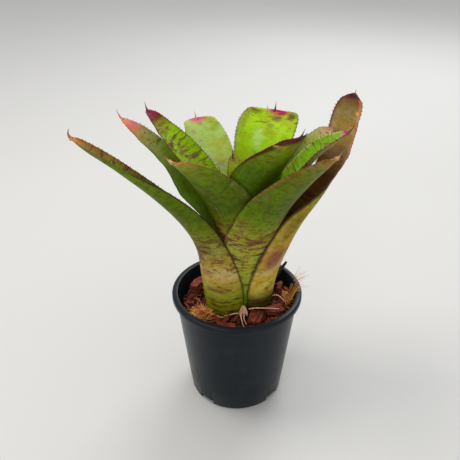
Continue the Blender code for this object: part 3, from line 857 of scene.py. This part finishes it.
def leaf_surface(leaf, along, across):
    """Points, directions through the leaf, and half widths, for shares along 0..1 and across -1..1."""
    stations = leaf_stations(leaf)
    last = len(stations) - 1
    reach, height, half, cup, roll = through(stations, along * last).T
    bearing = np.radians(leaf["azimuth"] + leaf.get("turn", 0) * ease(1.2 * (along * last - 2) / (last - 2)))
    outward = np.stack([np.cos(bearing), np.sin(bearing), 0 * bearing], 1)
    sideways = np.stack([-np.sin(bearing), np.cos(bearing), 0 * bearing], 1)
    upward = np.array([0, 0, 1.0])
    midrib = np.array([*PLANT_AXIS, SOIL]) + outward * reach[:, None] + upward * height[:, None]
    step = np.gradient(midrib, along, axis=0)
    slope = np.arctan2(step[:, 2], (step * outward).sum(1))
    lean = ease((along * last - 1.5) / 2.2)
    slope = math.pi / 2 + (slope - math.pi / 2) * lean
    inward = upward * np.cos(slope)[:, None] - outward * np.sin(slope)[:, None]
    roll = np.radians(roll)[:, None]
    tilted = sideways * np.cos(roll) + inward * np.sin(roll)
    inward = inward * np.cos(roll) - sideways * np.sin(roll)
    cup = np.radians(cup)
    curve = half / cup
    rounding = 1 - np.clip((along - TIP_START) / (1 - TIP_START), 0, 1) ** TIP_BLUNTNESS
    half = np.maximum(half * np.sqrt(rounding), TIP_HALF)
    if "slide" in leaf:
        skew = np.radians(through(np.array(leaf["slide"], float)[:, None], along * last)[:, 0])
    else:
        skew = np.radians(leaf.get("skew", 0)) * (1 - along**2)
    angle = (across[None, :] * (half / curve)[:, None] + skew[:, None])[:, :, None]
    curve = curve[:, None, None]
    tilted, inward = tilted[:, None, :], inward[:, None, :]
    points = midrib[:, None, :] + curve * (tilted * np.sin(angle) + inward * (1 - np.cos(angle)))
    return points, inward * np.cos(angle) - tilted * np.sin(angle), half


print("surface of", len(leaf_stations(LEAVES["leaf_right"])), "stations")

# %% [markdown]
# ## Colours of the leaves
# No two leaves are alike. The old outer ones are olive and tan with brown bars, the middle ones are green
# below and carry maroon marks, and the young ones inside are yellow-green. Each face of each leaf gets a
# run of colours from base to tip, painted onto its points as an attribute. On top come narrow edge
# bands and single patches. The shader adds what is finer than that: bars, dashes, veins and bloom.

# %% Colour cards of the leaves
MAROON, DARK, WINE, SALMON = (92, 26, 26), (46, 16, 10), (150, 0, 76), (220, 110, 126)
TAN, CREAM, ORANGE, RUST = (206, 150, 92), (240, 206, 160), (222, 150, 76), (150, 84, 34)
LIME, GREEN, DEEP, PALE = (150, 178, 22), (104, 140, 18), (62, 92, 8), (186, 208, 122)
OLIVE, BROWN = (120, 118, 34), (104, 62, 30)
print("leaf colours ready")

# %% How each leaf is painted
# Each face of a leaf, outer and inner, has a run of colours and of marks, edge bands and patches.
# run: (share of the length, red, green, blue). mark: (share, amount of maroon barring).
# edges: (side, from, to, width at each in mm, strength, red, green, blue).
# patches: (across -1..1, along 0..1, half width, half length in mm, strength, red, green, blue).
# spine: (length in mm, lift in degrees, shade of its foot, of its end). teeth: (spacing, size, shade).
LOOKS = {
    "leaf_outer_left": dict(
        outer_run=[(0, 122, 126, 8), (.06, 150, 164, 22), (.12, 176, 176, 62), (.2, 206, 180, 112),
            (.28, 168, 160, 78), (.37, 122, 132, 32), (.45, 84, 108, 8), (.62, 98, 122, 12),
            (.8, 104, 128, 28), (.92, 150, 130, 50), (.965, *ORANGE), (1, *CREAM)],
        outer_mark=[(0, .5), (.06, .7), (.12, .48), (.18, .62), (.26, .78), (.35, .74), (.42, .5),
            (.55, .36), (1, .3)],
        outer_edges=[(1, .02, .66, .9, 1, .85, 58, 24, 12)],
        outer_patches=[(-.05, .27, 6, 4, .7, 84, 36, 44), (.35, .13, 9, 2.2, .7, 122, 58, 70),
            (.1, .2, 7, 2.6, .55, 170, 104, 96), (.2, .06, 4, 4, .5, 120, 60, 26),
            (.1, .31, 14, 5, .5, 104, 70, 40), (.6, .2, 5, 7, .5, 206, 176, 120)],
        inner_run=[(0, *OLIVE), (.5, 84, 84, 24), (.62, 112, 104, 26), (.75, 138, 124, 34),
            (.86, 146, 108, 50), (.94, 196, 130, 70), (1, *CREAM)],
        inner_mark=[(0, .6), (.5, .7), (.75, .75), (.9, .4), (1, 0)],
        inner_edges=[(1, .3, .6, 3, 1.5, .7, *BROWN), (-1, .66, .95, 1.5, 1.5, .6, *RUST)],
        spine=(8, 118, .62, 0), teeth=(3.4, .9, .15), seed=1),
    "leaf_outer_right": dict(
        outer_run=[(0, 52, 50, 12), (.07, 96, 90, 28), (.11, 206, 196, 90), (.16, 230, 212, 112),
            (.22, 212, 186, 112), (.3, 188, 150, 84), (.4, 180, 162, 56), (.55, 152, 144, 26),
            (.7, 106, 92, 20), (.85, 110, 108, 36), (1, 90, 60, 30)],
        outer_mark=[(0, .8), (.07, .7), (.11, .15), (.2, .2), (.32, .35), (.5, .3), (.65, .7), (.8, .6),
            (1, .7)],
        # The first outer edge band is a painted shadow: a dark line along the near margin, where the leaf in
        # front shades it.
        outer_edges=[(-1, .1, .6, 1.2, 2, .85, 60, 26, 12), (-1, .62, .98, 1, 1.6, .6, 190, 110, 90)],
        outer_patches=[(-.45, .13, 2.2, 2.6, .75, 176, 92, 80), (-.55, .29, 7, 9, .75, 146, 76, 78),
            (-.6, .42, 5, 10, .5, 100, 52, 30), (-.75, .17, 3, 8, .7, 222, 186, 70),
            (-.3, .05, 6, 2, .6, 60, 40, 14), (-.3, .62, 7, 10, .5, 76, 36, 28)],
        inner_run=[(0, *DARK), (.2, 84, 52, 14), (.4, 116, 84, 24), (.52, 112, 76, 26), (.6, 104, 66, 34),
            (.68, 150, 118, 84), (.78, 166, 146, 100), (.88, 140, 122, 72), (.95, 128, 84, 62),
            (1, 58, 18, 16)],
        inner_mark=[(0, .6), (.5, .85), (.62, .55), (.75, .15), (.9, .45), (1, 1)],
        inner_edges=[(-1, .6, .98, 1.5, 3.2, .75, 214, 132, 110), (1, .62, .97, 1.2, 2.2, .75, 120, 60, 44)],
        inner_patches=[(-.7, .87, 1.6, 1.8, .8, 230, 180, 60), (-.5, .8, 1.5, 1.5, .6, 222, 120, 110),
            (.1, .99, 9, 3.4, .9, *DARK)],
        spine=(2.4, 10, 0, 0), teeth=(2.9, 1.1, .1), seed=2, ragged=1.6),
    "leaf_front_right": dict(
        outer_run=[(0, 110, 156, 14), (.08, 136, 176, 26), (.16, 176, 194, 76), (.26, 184, 190, 88),
            (.36, 172, 170, 76), (.44, 148, 154, 44), (.52, 100, 124, 10), (.58, 86, 114, 6),
            (.68, 98, 120, 14), (.82, 116, 124, 44), (.93, 160, 128, 74), (1, *CREAM)],
        outer_mark=[(0, .2), (.05, .4), (.1, .4), (.16, .62), (.3, .74), (.42, .78), (.49, .6), (.55, .36),
            (1, .4)],
        outer_edges=[(-1, .26, .46, .9, .7, .9, *MAROON), (-1, .6, .97, 1.4, 3.4, .55, 164, 104, 76)],
        outer_patches=[(.1, .43, 12, 2, .6, 112, 58, 50), (.3, .36, 7, 1.6, .6, 118, 70, 76),
            (-.5, .37, 6, 1.6, .55, 118, 70, 70), (-.72, .44, 3, 6, .5, 150, 110, 90)],
        inner_run=[(0, *GREEN), (.5, 104, 124, 30), (.62, 140, 110, 74), (.8, 178, 120, 100), (1, *TAN)],
        inner_mark=[(0, .3), (.5, .5), (.8, .5), (1, .1)],
        inner_edges=[(-1, .5, .97, 2.5, 5, .75, 178, 116, 96)],
        spine=(3, 30, .95, .6), teeth=(3.2, 1, .1), seed=3),
    "leaf_front_left": dict(
        outer_run=[(0, 150, 150, 40), (.2, 164, 164, 62), (.32, 156, 156, 40), (.43, 148, 150, 26),
            (.5, 108, 122, 10), (.57, 74, 94, 4), (.68, 84, 110, 8), (.84, 118, 142, 26),
            (.93, 160, 160, 70), (.97, 220, 170, 130), (1, *CREAM)],
        outer_mark=[(0, .3), (.2, .7), (.34, .8), (.45, .8), (.52, .5), (.6, .4), (.8, .36), (1, 0)],
        outer_edges=[(-1, .3, .66, 1.3, .8, .7, 190, 180, 110), (1, .45, .8, .7, .6, .6, 96, 84, 14),
            (1, .86, 1, 1.2, 4, .75, 206, 140, 116), (1, .8, .9, .8, 1.6, .5, 120, 84, 40)],
        outer_patches=[(.5, .29, 6, 1.4, .8, *DARK), (.3, .34, 6, 1.1, .7, 70, 30, 16),
            (-.8, .42, 2, 6, .5, 92, 44, 24)],
        inner_run=[(0, *GREEN), (.5, *LIME), (.8, 176, 150, 90), (1, *CREAM)],
        inner_mark=[(0, .2), (1, .1)],
        spine=(4, 15, 1, .75), teeth=(3, .8, .45), seed=4),
    "leaf_left": dict(
        outer_run=[(0, *GREEN), (.4, 86, 122, 12), (.6, 98, 138, 20), (.82, 120, 156, 44), (.93, *SALMON),
            (1, *CREAM)],
        outer_mark=[(0, .3), (.5, .3), (1, .1)],
        outer_edges=[(1, .5, .92, 1, 1, .6, *DEEP)],
        inner_run=[(0, *GREEN), (.5, 126, 166, 34), (.68, 146, 182, 64), (.8, 158, 184, 84),
            (.88, 180, 168, 110), (.94, 222, 112, 120), (1, 236, 178, 150)],
        inner_mark=[(0, .3), (.6, .2), (.85, .45), (1, .1)],
        inner_edges=[(1, .6, .9, 1.2, 1.6, .6, 196, 150, 120)],
        inner_patches=[(.2, .8, 5, 6, .4, 184, 146, 116), (.3, .66, 5, 3, .25, 170, 140, 108)],
        spine=(4, 50, .85, .8), teeth=(3.4, .9, .3), seed=5),
    "leaf_back_right": dict(
        outer_run=[(0, *GREEN), (.6, 104, 130, 44), (1, 160, 120, 100)],
        outer_mark=[(0, .3), (1, .4)],
        inner_run=[(0, *GREEN), (.6, 160, 184, 100), (.8, 172, 192, 122), (.92, 190, 164, 130),
            (1, 170, 110, 100)],
        inner_mark=[(0, .2), (.7, .3), (.9, .5), (1, .3)],
        inner_edges=[(-1, .6, 1, 1.5, 4, .7, 170, 126, 118), (1, .6, 1, .8, 1, .6, 150, 116, 96)],
        inner_patches=[(0, .86, 6, 4, .45, 180, 150, 130)],
        spine=(3, 20, .6, .6), teeth=(3.4, .9, .2), seed=6),
    "leaf_right": dict(
        outer_run=[(0, *GREEN), (.45, 86, 118, 20), (.6, 110, 142, 46), (.75, 124, 158, 70),
            (.88, 136, 172, 60), (.95, 198, 60, 84), (1, *WINE)],
        outer_mark=[(0, .3), (.5, .4), (.8, .4), (1, 0)],
        outer_edges=[(-1, .6, .92, 2, 5, .65, 170, 112, 96)],
        outer_patches=[(-.35, .8, 5, 6, .55, 216, 150, 112), (-.2, .68, 5, 5, .5, 150, 96, 80)],
        inner_run=[(0, *LIME), (.5, 112, 160, 12), (.66, 124, 176, 18), (.82, 128, 176, 40),
            (.9, 150, 176, 90), (.945, 210, 60, 130), (1, *WINE)],
        inner_mark=[(0, .4), (.45, .5), (.6, .6), (.8, .66), (.86, .45), (.93, .1), (1, 0)],
        inner_edges=[(1, .4, .9, .8, .8, .8, 206, 208, 150), (-1, .5, .92, 1, 2, .7, 150, 84, 70)],
        spine=(4, 40, .3, .3), teeth=(3, 1.1, .05), seed=7),
    "leaf_back": dict(
        outer_run=[(0, *GREEN), (.6, 110, 140, 40), (1, 170, 160, 100)],
        outer_mark=[(0, .3), (1, .3)],
        inner_run=[(0, 190, 210, 120), (.45, 186, 204, 128), (.62, 182, 208, 118), (.8, 178, 206, 104),
            (.94, 176, 200, 108), (1, 206, 130, 112)],
        inner_mark=[(0, .35), (.5, .4), (.7, .15), (.9, .3), (1, .3)],
        inner_edges=[(1, .5, 1, .8, .8, .5, 196, 210, 150), (-1, .5, .95, .8, .8, .5, 196, 210, 150)],
        inner_patches=[(0, .96, 8, 9, .8, 218, 80, 130), (-.05, .9, 2.5, 6, .6, 206, 120, 110),
            (-.15, .92, 3.2, 3.4, .5, 200, 140, 112), (.2, .6, 3, 4, .55, 190, 150, 150),
            (-.3, .56, 2.5, 3, .5, 186, 150, 150), (.5, .8, 2.6, 3, .55, 180, 130, 130),
            (.3, .72, 3, 1.8, .5, 170, 124, 124), (.2, .45, 2, 5, .5, 176, 140, 130)],
        spine=(3.5, 60, .85, .85), teeth=(3.4, .8, .6), seed=8),
    "leaf_back_left": dict(
        outer_run=[(0, *GREEN), (.6, 96, 124, 20), (1, 110, 50, 34)],
        outer_mark=[(0, .4), (1, .6)],
        inner_run=[(0, *LIME), (.4, 128, 166, 0), (.55, 140, 188, 0), (.75, 150, 196, 2),
            (.84, 148, 174, 10), (.89, 120, 60, 36), (.93, 150, 10, 70), (1, *WINE)],
        inner_mark=[(0, .5), (.45, .62), (.6, .64), (.8, .72), (.9, .5), (.95, 0), (1, 0)],
        inner_edges=[(-1, .35, .95, .7, .8, .8, 84, 70, 16), (1, .6, .95, 1.6, 3, .75, 120, 60, 40)],
        inner_patches=[(0, .9, 6, 3, .7, 112, 48, 32), (.15, .79, 4.5, 3.4, .35, *MAROON),
            (-.5, .62, 4, 2.2, .7, *MAROON), (.35, .6, 5, 2, .65, *MAROON), (.4, .72, 5, 2.2, .7, *MAROON),
            (-.1, .84, 6, 2, .6, *MAROON), (-.45, .5, 5, 2.4, .7, *DARK)],
        spine=(4, 75, .32, .2), teeth=(2.8, 1, 0), seed=9),
    "leaf_front_inner": dict(
        outer_run=[(0, *GREEN), (.4, 92, 122, 10), (.5, 72, 102, 4), (.62, 80, 112, 6), (.75, 112, 142, 12),
            (.86, 122, 130, 20), (.93, 70, 34, 12), (1, *DARK)],
        outer_mark=[(0, .3), (.4, .35), (.6, .3), (.8, .4), (.9, .9), (1, 1)],
        outer_edges=[(-1, .4, .66, .8, .9, .8, *MAROON), (-1, .66, 1, 1.4, 9, .95, 84, 16, 14),
            (1, .5, .9, .8, 1.2, .6, *MAROON)],
        outer_patches=[(-.86, .84, 2.2, 2, .6, 222, 150, 130), (-.35, .74, 4, .9, .6, *BROWN),
            (0, .64, 6, .8, .6, 60, 70, 8), (-.2, .83, 9, 5, .5, 150, 164, 36)],
        inner_run=[(0, *LIME), (.6, *LIME), (.86, 140, 110, 60), (1, *DARK)],
        inner_mark=[(0, .3), (.8, .6), (1, 1)],
        inner_edges=[(-1, .6, 1, 1, 6, .85, *MAROON)],
        spine=(3.5, 40, 0, 0), teeth=(2.9, 1, .05), seed=10),
    "leaf_back_inner": dict(
        outer_run=[(0, *GREEN), (.5, 110, 136, 40), (.8, 140, 150, 84), (1, 160, 150, 96)],
        outer_mark=[(0, .4), (1, .4)],
        outer_edges=[(1, .4, 1, 1.5, 1.5, .6, 120, 130, 96)],
        inner_run=[(0, *PALE), (.3, 196, 208, 110), (.45, 170, 206, 30), (.6, 156, 204, 10),
            (.75, 170, 214, 30), (.88, 168, 204, 16), (1, 170, 200, 20)],
        inner_mark=[(0, .1), (.5, .1), (.7, .35), (.8, .62), (.95, .62), (1, .4)],
        inner_edges=[(1, .45, .98, 2.2, 1.6, .8, 150, 150, 110), (-1, .5, .98, 1, 1.5, .7, 110, 120, 30)],
        inner_patches=[(.05, .975, 7, 2.4, .5, 206, 120, 80), (-.3, .955, 8.5, 9, .98, 178, 0, 96),
            (-.12, .94, 3, 3, .6, 226, 120, 120), (.66, .91, 5, 5, .6, *MAROON),
            (-.76, .88, 3.6, 6, .8, 96, 40, 20), (.84, .8, 2.5, 16, .5, 140, 120, 60),
            (-.2, .84, 4.5, 4, .65, 128, 64, 60), (-.05, .77, 3, 3, .5, 128, 64, 60),
            # The two pale patches below are painted highlights: a whitish sheen laid into the colour of the
            # inner face.
            (.25, .68, 4.5, 9, .6, 196, 222, 140), (.45, .4, 3.4, 14, .75, 226, 226, 170),
            (0, .55, 5, 6, .5, 186, 216, 90)],
        spine=(5, 80, .3, .1), teeth=(3.2, .9, .3), seed=11, second_spine=(.55, 2.5, .9, .9)),
    "leaf_young_back": dict(
        outer_run=[(0, *LIME), (1, 130, 150, 30)],
        outer_mark=[(0, .4), (1, .5)],
        inner_run=[(0, *LIME), (.5, 156, 178, 40), (.8, 168, 190, 50), (1, 186, 140, 80)],
        inner_mark=[(0, .4), (.6, .62), (1, .5)],
        inner_edges=[(1, .5, 1, .6, .6, .5, *MAROON)],
        inner_patches=[(.2, .7, 2.4, 3, .45, *MAROON), (-.2, .9, 2, 3, .4, *MAROON)],
        spine=(3, 50, .2, .2), teeth=(3.2, .8, .1), seed=12),
    "leaf_young_front": dict(
        outer_run=[(0, *GREEN), (.6, 150, 140, 60), (.85, 190, 140, 100), (1, 206, 160, 120)],
        outer_mark=[(0, .3), (1, .4)],
        outer_edges=[(-1, .5, 1, .8, .8, .6, *MAROON)],
        outer_patches=[(0, .8, 2, 6, .5, 90, 40, 24)],
        inner_run=[(0, *LIME), (.7, 170, 150, 80), (1, 200, 150, 110)],
        inner_mark=[(0, .3), (1, .3)],
        spine=(7, 60, .15, 0), teeth=(3.2, .8, .1), seed=13),
}
print("painted leaves:", len(LOOKS))

# %% [markdown]
# ### The finish of a leaf
# Bars and dashes run across the leaf and veins run along it, so the pattern must follow the surface. Each
# point therefore carries its distance across and along the leaf in millimetres, with a third number that
# differs from leaf to leaf so that no pattern repeats.

# %% Leaf finish
def leaf_finish(face, deepness, bloom):
    leaf = Paint("leaf_" + face, IOR=1.3, Specular_IOR_Level=0.2)
    span = leaf.attribute("span", "Vector")
    tint = leaf.attribute(face + "_tint", "Color")
    mark = leaf.attribute(face + "_mark")
    wander = leaf.cloud(leaf.stretch(span, (0.075, 0.27, 1)), 1.0, 6, 0.62, 0.7)
    bars = wander + mark * 0.30
    barred = leaf.step(bars, 0.725, 0.775)
    heart = leaf.step(bars, 0.79, 0.88)
    dashes = leaf.cloud(leaf.stretch(span, (0.26, 0.95, 1), (3, 9, 4)), 1.0, 4, 0.62, 0.6)
    dashed = leaf.step(dashes + mark * 0.10, 0.66, 0.74)
    flush = leaf.cloud(leaf.stretch(span, (0.07, 0.075, 1), (40, 7, 2)), 1.0, 4, 0.6)
    veins = leaf.cloud(leaf.stretch(span, (0.9, 0.035, 1)), 1.0, 3, 0.6)
    scurf = leaf.cloud(leaf.stretch(span, (0.16, 0.3, 1), (17, 3, 8)), 1.0, 5, 0.62)
    bar_tint = leaf.mix(leaf.step(flush, 0.4, 0.6), card(92, 28, 40), card(112, 60, 50))
    warm = leaf.multiply(leaf.step(flush, 0.42, 0.62) * 0.8, tint, card(244, 218, 96))
    deep = leaf.multiply(leaf.step(scurf, 0.48, 0.6) * deepness, warm, card(186, 200, 60))
    lit = leaf.mix(leaf.step(veins, 0.5, 0.8) * 0.10, deep, card(214, 222, 120))
    powder = leaf.mix(leaf.step(flush, 0.56, 0.7) * bloom, lit, card(196, 200, 140))
    spotted = leaf.mix(dashed * leaf.step(mark, 0.1, 0.5) * 0.8, powder, card(56, 40, 10))
    colour = leaf.mix(barred * (0.68 + heart * 0.26), spotted, bar_tint)
    gloss = 0.38 + scurf * 0.2 + barred * 0.06
    rise = leaf.bump(veins * 0.6 + dashes * 0.4, 0.16, 0.0004)
    return leaf.finish(Base_Color=colour, Roughness=gloss, Normal=rise)


LEAF_OUTER = leaf_finish("outer", 0.6, 0.12)
LEAF_INNER = leaf_finish("inner", 0.3, 0.05)
print("leaf finishes:", LEAF_OUTER.name, LEAF_INNER.name)

# %% Spine finish
horn = Paint("spine_horn", Roughness=0.4)
shade = horn.attribute("shade")
hue = horn.ramp(shade, (0.0, card(26, 12, 10)), (0.3, card(96, 30, 34)), (0.6, card(200, 120, 80)),
                (0.8, card(222, 96, 96)), (1.0, card(240, 190, 140)))
grit = horn.cloud(horn.place(), 900, 2)
gritty = horn.mix(grit * 0.3, hue, card(60, 20, 16))
HORN = horn.finish(Base_Color=gritty, Normal=horn.bump(grit, 0.2, 0.0002))
print("spine finish ready")

# %% Painting points
def run_of(stops, along):
    """Rows of (share, value...) read at each share along the leaf."""
    places, *channels = np.array(stops, float).T
    return np.stack([np.interp(along, places, channel) for channel in channels], -1)


def blend_in(colour, mask, numbers):
    mask = mask[..., None]
    return colour * (1 - mask) + np.array(card(*numbers)) * mask


def paint_face(look, face, along, across, half, length):
    """Colour and mark of one face, as arrays of rows by columns."""
    shape = (len(along), len(across))
    run = [(place, *card(*numbers)) for place, *numbers in look[face + "_run"]]
    colour = np.broadcast_to(run_of(run, along)[:, None, :], (*shape, 3)).copy()
    for side, start, end, width0, width1, strength, *numbers in look.get(face + "_edges", []):
        share = np.clip((along - start) / (end - start), 0, 1)
        width = (width0 + (width1 - width0) * share)[:, None]
        away = half[:, None] * (1 - side * across[None, :])
        fade = ease((along - start) / 0.05 + 1) * ease((end - along) / 0.05 + 1)
        colour = blend_in(colour, strength * fade[:, None] * ease(1.5 - away / width), numbers)
    for side, place, wide, tall, strength, *numbers in look.get(face + "_patches", []):
        dx = (across[None, :] - side) * half[:, None] / wide
        dy = ((along - place) * length / tall)[:, None]
        colour = blend_in(colour, strength * ease(1.5 - np.sqrt(dx**2 + dy**2)), numbers)
    return colour, np.broadcast_to(run_of(look[face + "_mark"], along), shape)


print("painting ready")

# %% [markdown]
# ### Building a leaf
# The grid gets its surface, its paint and a Solidify modifier. The wall is full in the middle and thins
# to the margins, as on the real leaf, and the second face gets the second finish. Teeth stand along both
# margins and point towards the tip, and one stout spine ends the leaf.

# %% Shape of a blade
ROWS, COLUMNS = 150, 45
ROW_CROWDING = 1.35  # rows stand closer towards the tip
EDGE_WAVE = 0.55     # height of the waves in the free margins, in mm


def shape_blade(leaf, look):
    """Points of a blade by row and column, with what its paint and its spines need."""
    along = 1 - (1 - np.linspace(0, 1, ROWS)) ** ROW_CROWDING
    across = np.linspace(-1, 1, COLUMNS)
    points, through_leaf, half = leaf_surface(leaf, along, across)
    middle = points[:, COLUMNS // 2]
    steps = np.linalg.norm(np.diff(middle, axis=0), axis=1)
    distance = np.concatenate([[0], np.cumsum(steps)])
    phase = np.random.default_rng(look["seed"]).uniform(0, 6.28, 4)
    wave = sum(np.sin(distance * k + p) for k, p in zip((0.11, 0.23, 0.37, 0.61), phase)) / 4
    free = ease((along - 0.42) / 0.2)
    lift = (EDGE_WAVE * wave * free)[:, None] * np.abs(across[None, :]) ** 3
    points = points + through_leaf * lift[..., None]
    ragged = look.get("ragged", 0) * ease((along - 0.94) / 0.05)
    bite = ragged[:, None] * (0.5 + 0.5 * np.sin(across * 17 + 2) * np.sin(across * 7.3))[None, :]
    tangent = np.gradient(middle, axis=0)
    tangent /= np.linalg.norm(tangent, axis=1)[:, None]
    points = points - tangent[:, None, :] * bite[..., None]
    return points, tangent, distance, along, across, half


print("blade grid:", ROWS, "by", COLUMNS)

# %% Blade of a leaf
PATTERN_SHIFT = 13.7  # from one leaf's pattern to the next
EDGE_THINNING = 0.6   # share of the wall that is lost at the margins


def make_blade(name, look, points, distance, along, across, half):
    bpy.ops.mesh.primitive_grid_add(x_subdivisions=COLUMNS - 1, y_subdivisions=ROWS - 1, size=2)
    blade = bpy.context.object
    blade.name = name + "_blade"
    mesh = blade.data
    flat = np.zeros(len(mesh.vertices) * 3, np.float32)
    mesh.vertices.foreach_get("co", flat)
    flat = flat.reshape(-1, 3)
    column = np.rint((flat[:, 0] + 1) / 2 * (COLUMNS - 1)).astype(int)
    row = np.rint((flat[:, 1] + 1) / 2 * (ROWS - 1)).astype(int)
    mesh.vertices.foreach_set("co", (points[row, column] * MM).astype(np.float32).ravel())
    shift = np.full(len(row), look["seed"] * PATTERN_SHIFT)
    store(mesh, "span", "FLOAT_VECTOR", np.stack([across[column] * half[row], distance[row], shift], 1))
    for face in ("inner", "outer"):
        colour, mark = paint_face(look, face, along, across, half, distance[-1])
        opaque = np.ones((len(row), 1))
        store(mesh, face + "_tint", "FLOAT_COLOR", np.concatenate([colour[row, column], opaque], 1))
        store(mesh, face + "_mark", "FLOAT", mark[row, column])
    body = blade.vertex_groups.new(name="body")
    for index, share in enumerate(1 - EDGE_THINNING * np.abs(across[column]) ** 3):
        body.add([index], float(share), "REPLACE")
    mesh.materials.append(LEAF_OUTER)
    mesh.materials.append(LEAF_INNER)
    wall = blade.modifiers.new("wall", "SOLIDIFY")
    wall.thickness = LEAF_THICKNESS * MM
    wall.offset = 0
    wall.vertex_group = "body"
    wall.material_offset = 1
    apply_all(blade)
    mesh.shade_smooth()
    return blade


print("wall of a blade:", LEAF_THICKNESS, "mm")

# %% Teeth and end spine
TOOTH_RADII = np.array([0.42, 0.24, 0.04])
SPINE_ROOT = 2.2


def make_spines(name, look, points, tangent):
    spacing, size, tooth_shade = look["teeth"]
    spines = Bundle()
    draw = random.Random(look["seed"] * 31)
    for edge, beside in ((0, 1), (COLUMNS - 1, COLUMNS - 2)):
        margin = points[:, edge]
        walked = np.concatenate([[0], np.cumsum(np.linalg.norm(np.diff(margin, axis=0), axis=1))])
        at = spacing * 2
        while at < walked[-1] * 0.985:
            i = int(np.clip(np.searchsorted(walked, at), 1, ROWS - 2))
            out = margin[i] - points[i, beside]
            out /= np.linalg.norm(out) + 1e-9
            forward = margin[i + 1] - margin[i - 1]
            forward /= np.linalg.norm(forward) + 1e-9
            reach = size * draw.uniform(0.7, 1.25)
            path = [margin[i] - out * 0.35, margin[i] + out * reach * 0.5 + forward * reach * 0.22,
                    margin[i] + out * reach * 0.85 + forward * reach * 0.75]
            spines.add(*strand(path, TOOTH_RADII * (0.6 + 0.4 * size), 5), tooth_shade)
            at += spacing * draw.uniform(0.75, 1.3)
    length, lift, foot_shade, end_shade = look["spine"]
    tips = [(COLUMNS // 2, length, foot_shade, end_shade)]
    if "second_spine" in look:
        side, *other = look["second_spine"]
        tips.append((int((side + 1) / 2 * (COLUMNS - 1)), *other))
    for column, reach, foot_shade, end_shade in tips:
        foot = points[-1, column] if column == COLUMNS // 2 else points[-9, column]
        ahead = tangent[-1]
        angle = math.radians(lift)
        rise = np.array([0, 0, 1.0]) * math.sin(angle) + ahead * math.cos(angle)
        share = np.linspace(0, 1, 9)[:, None]
        sweep = ahead * share * (1 - share * 0.5) + rise * share**2 * 0.75
        path = foot - ahead * SPINE_ROOT + sweep * (reach + SPINE_ROOT)
        radii = 0.12 + 1.25 * (1 - share[:, 0]) ** 1.6
        shades = np.repeat(np.interp(share[:, 0], [0.4, 0.9], [foot_shade, end_shade]), 8)
        spines.add(*strand(path, radii * (0.8 + 0.06 * reach), 8), [*shades, foot_shade, end_shade])
    return spines.piece(name + "_spines", HORN)


print("spine maker ready")

# %% All thirteen leaves
for name, leaf in LEAVES.items():
    look = LOOKS[name]
    points, tangent, distance, *layout = shape_blade(leaf, look)
    slot = "leaf_olive" if "outer" in name else "leaf_green"
    finish_piece(make_blade(name, look, points, distance, *layout), slot, name)
    finish_piece(make_spines(name, look, points, tangent), slot)
    print(name, "length", round(distance[-1], 1), "mm")
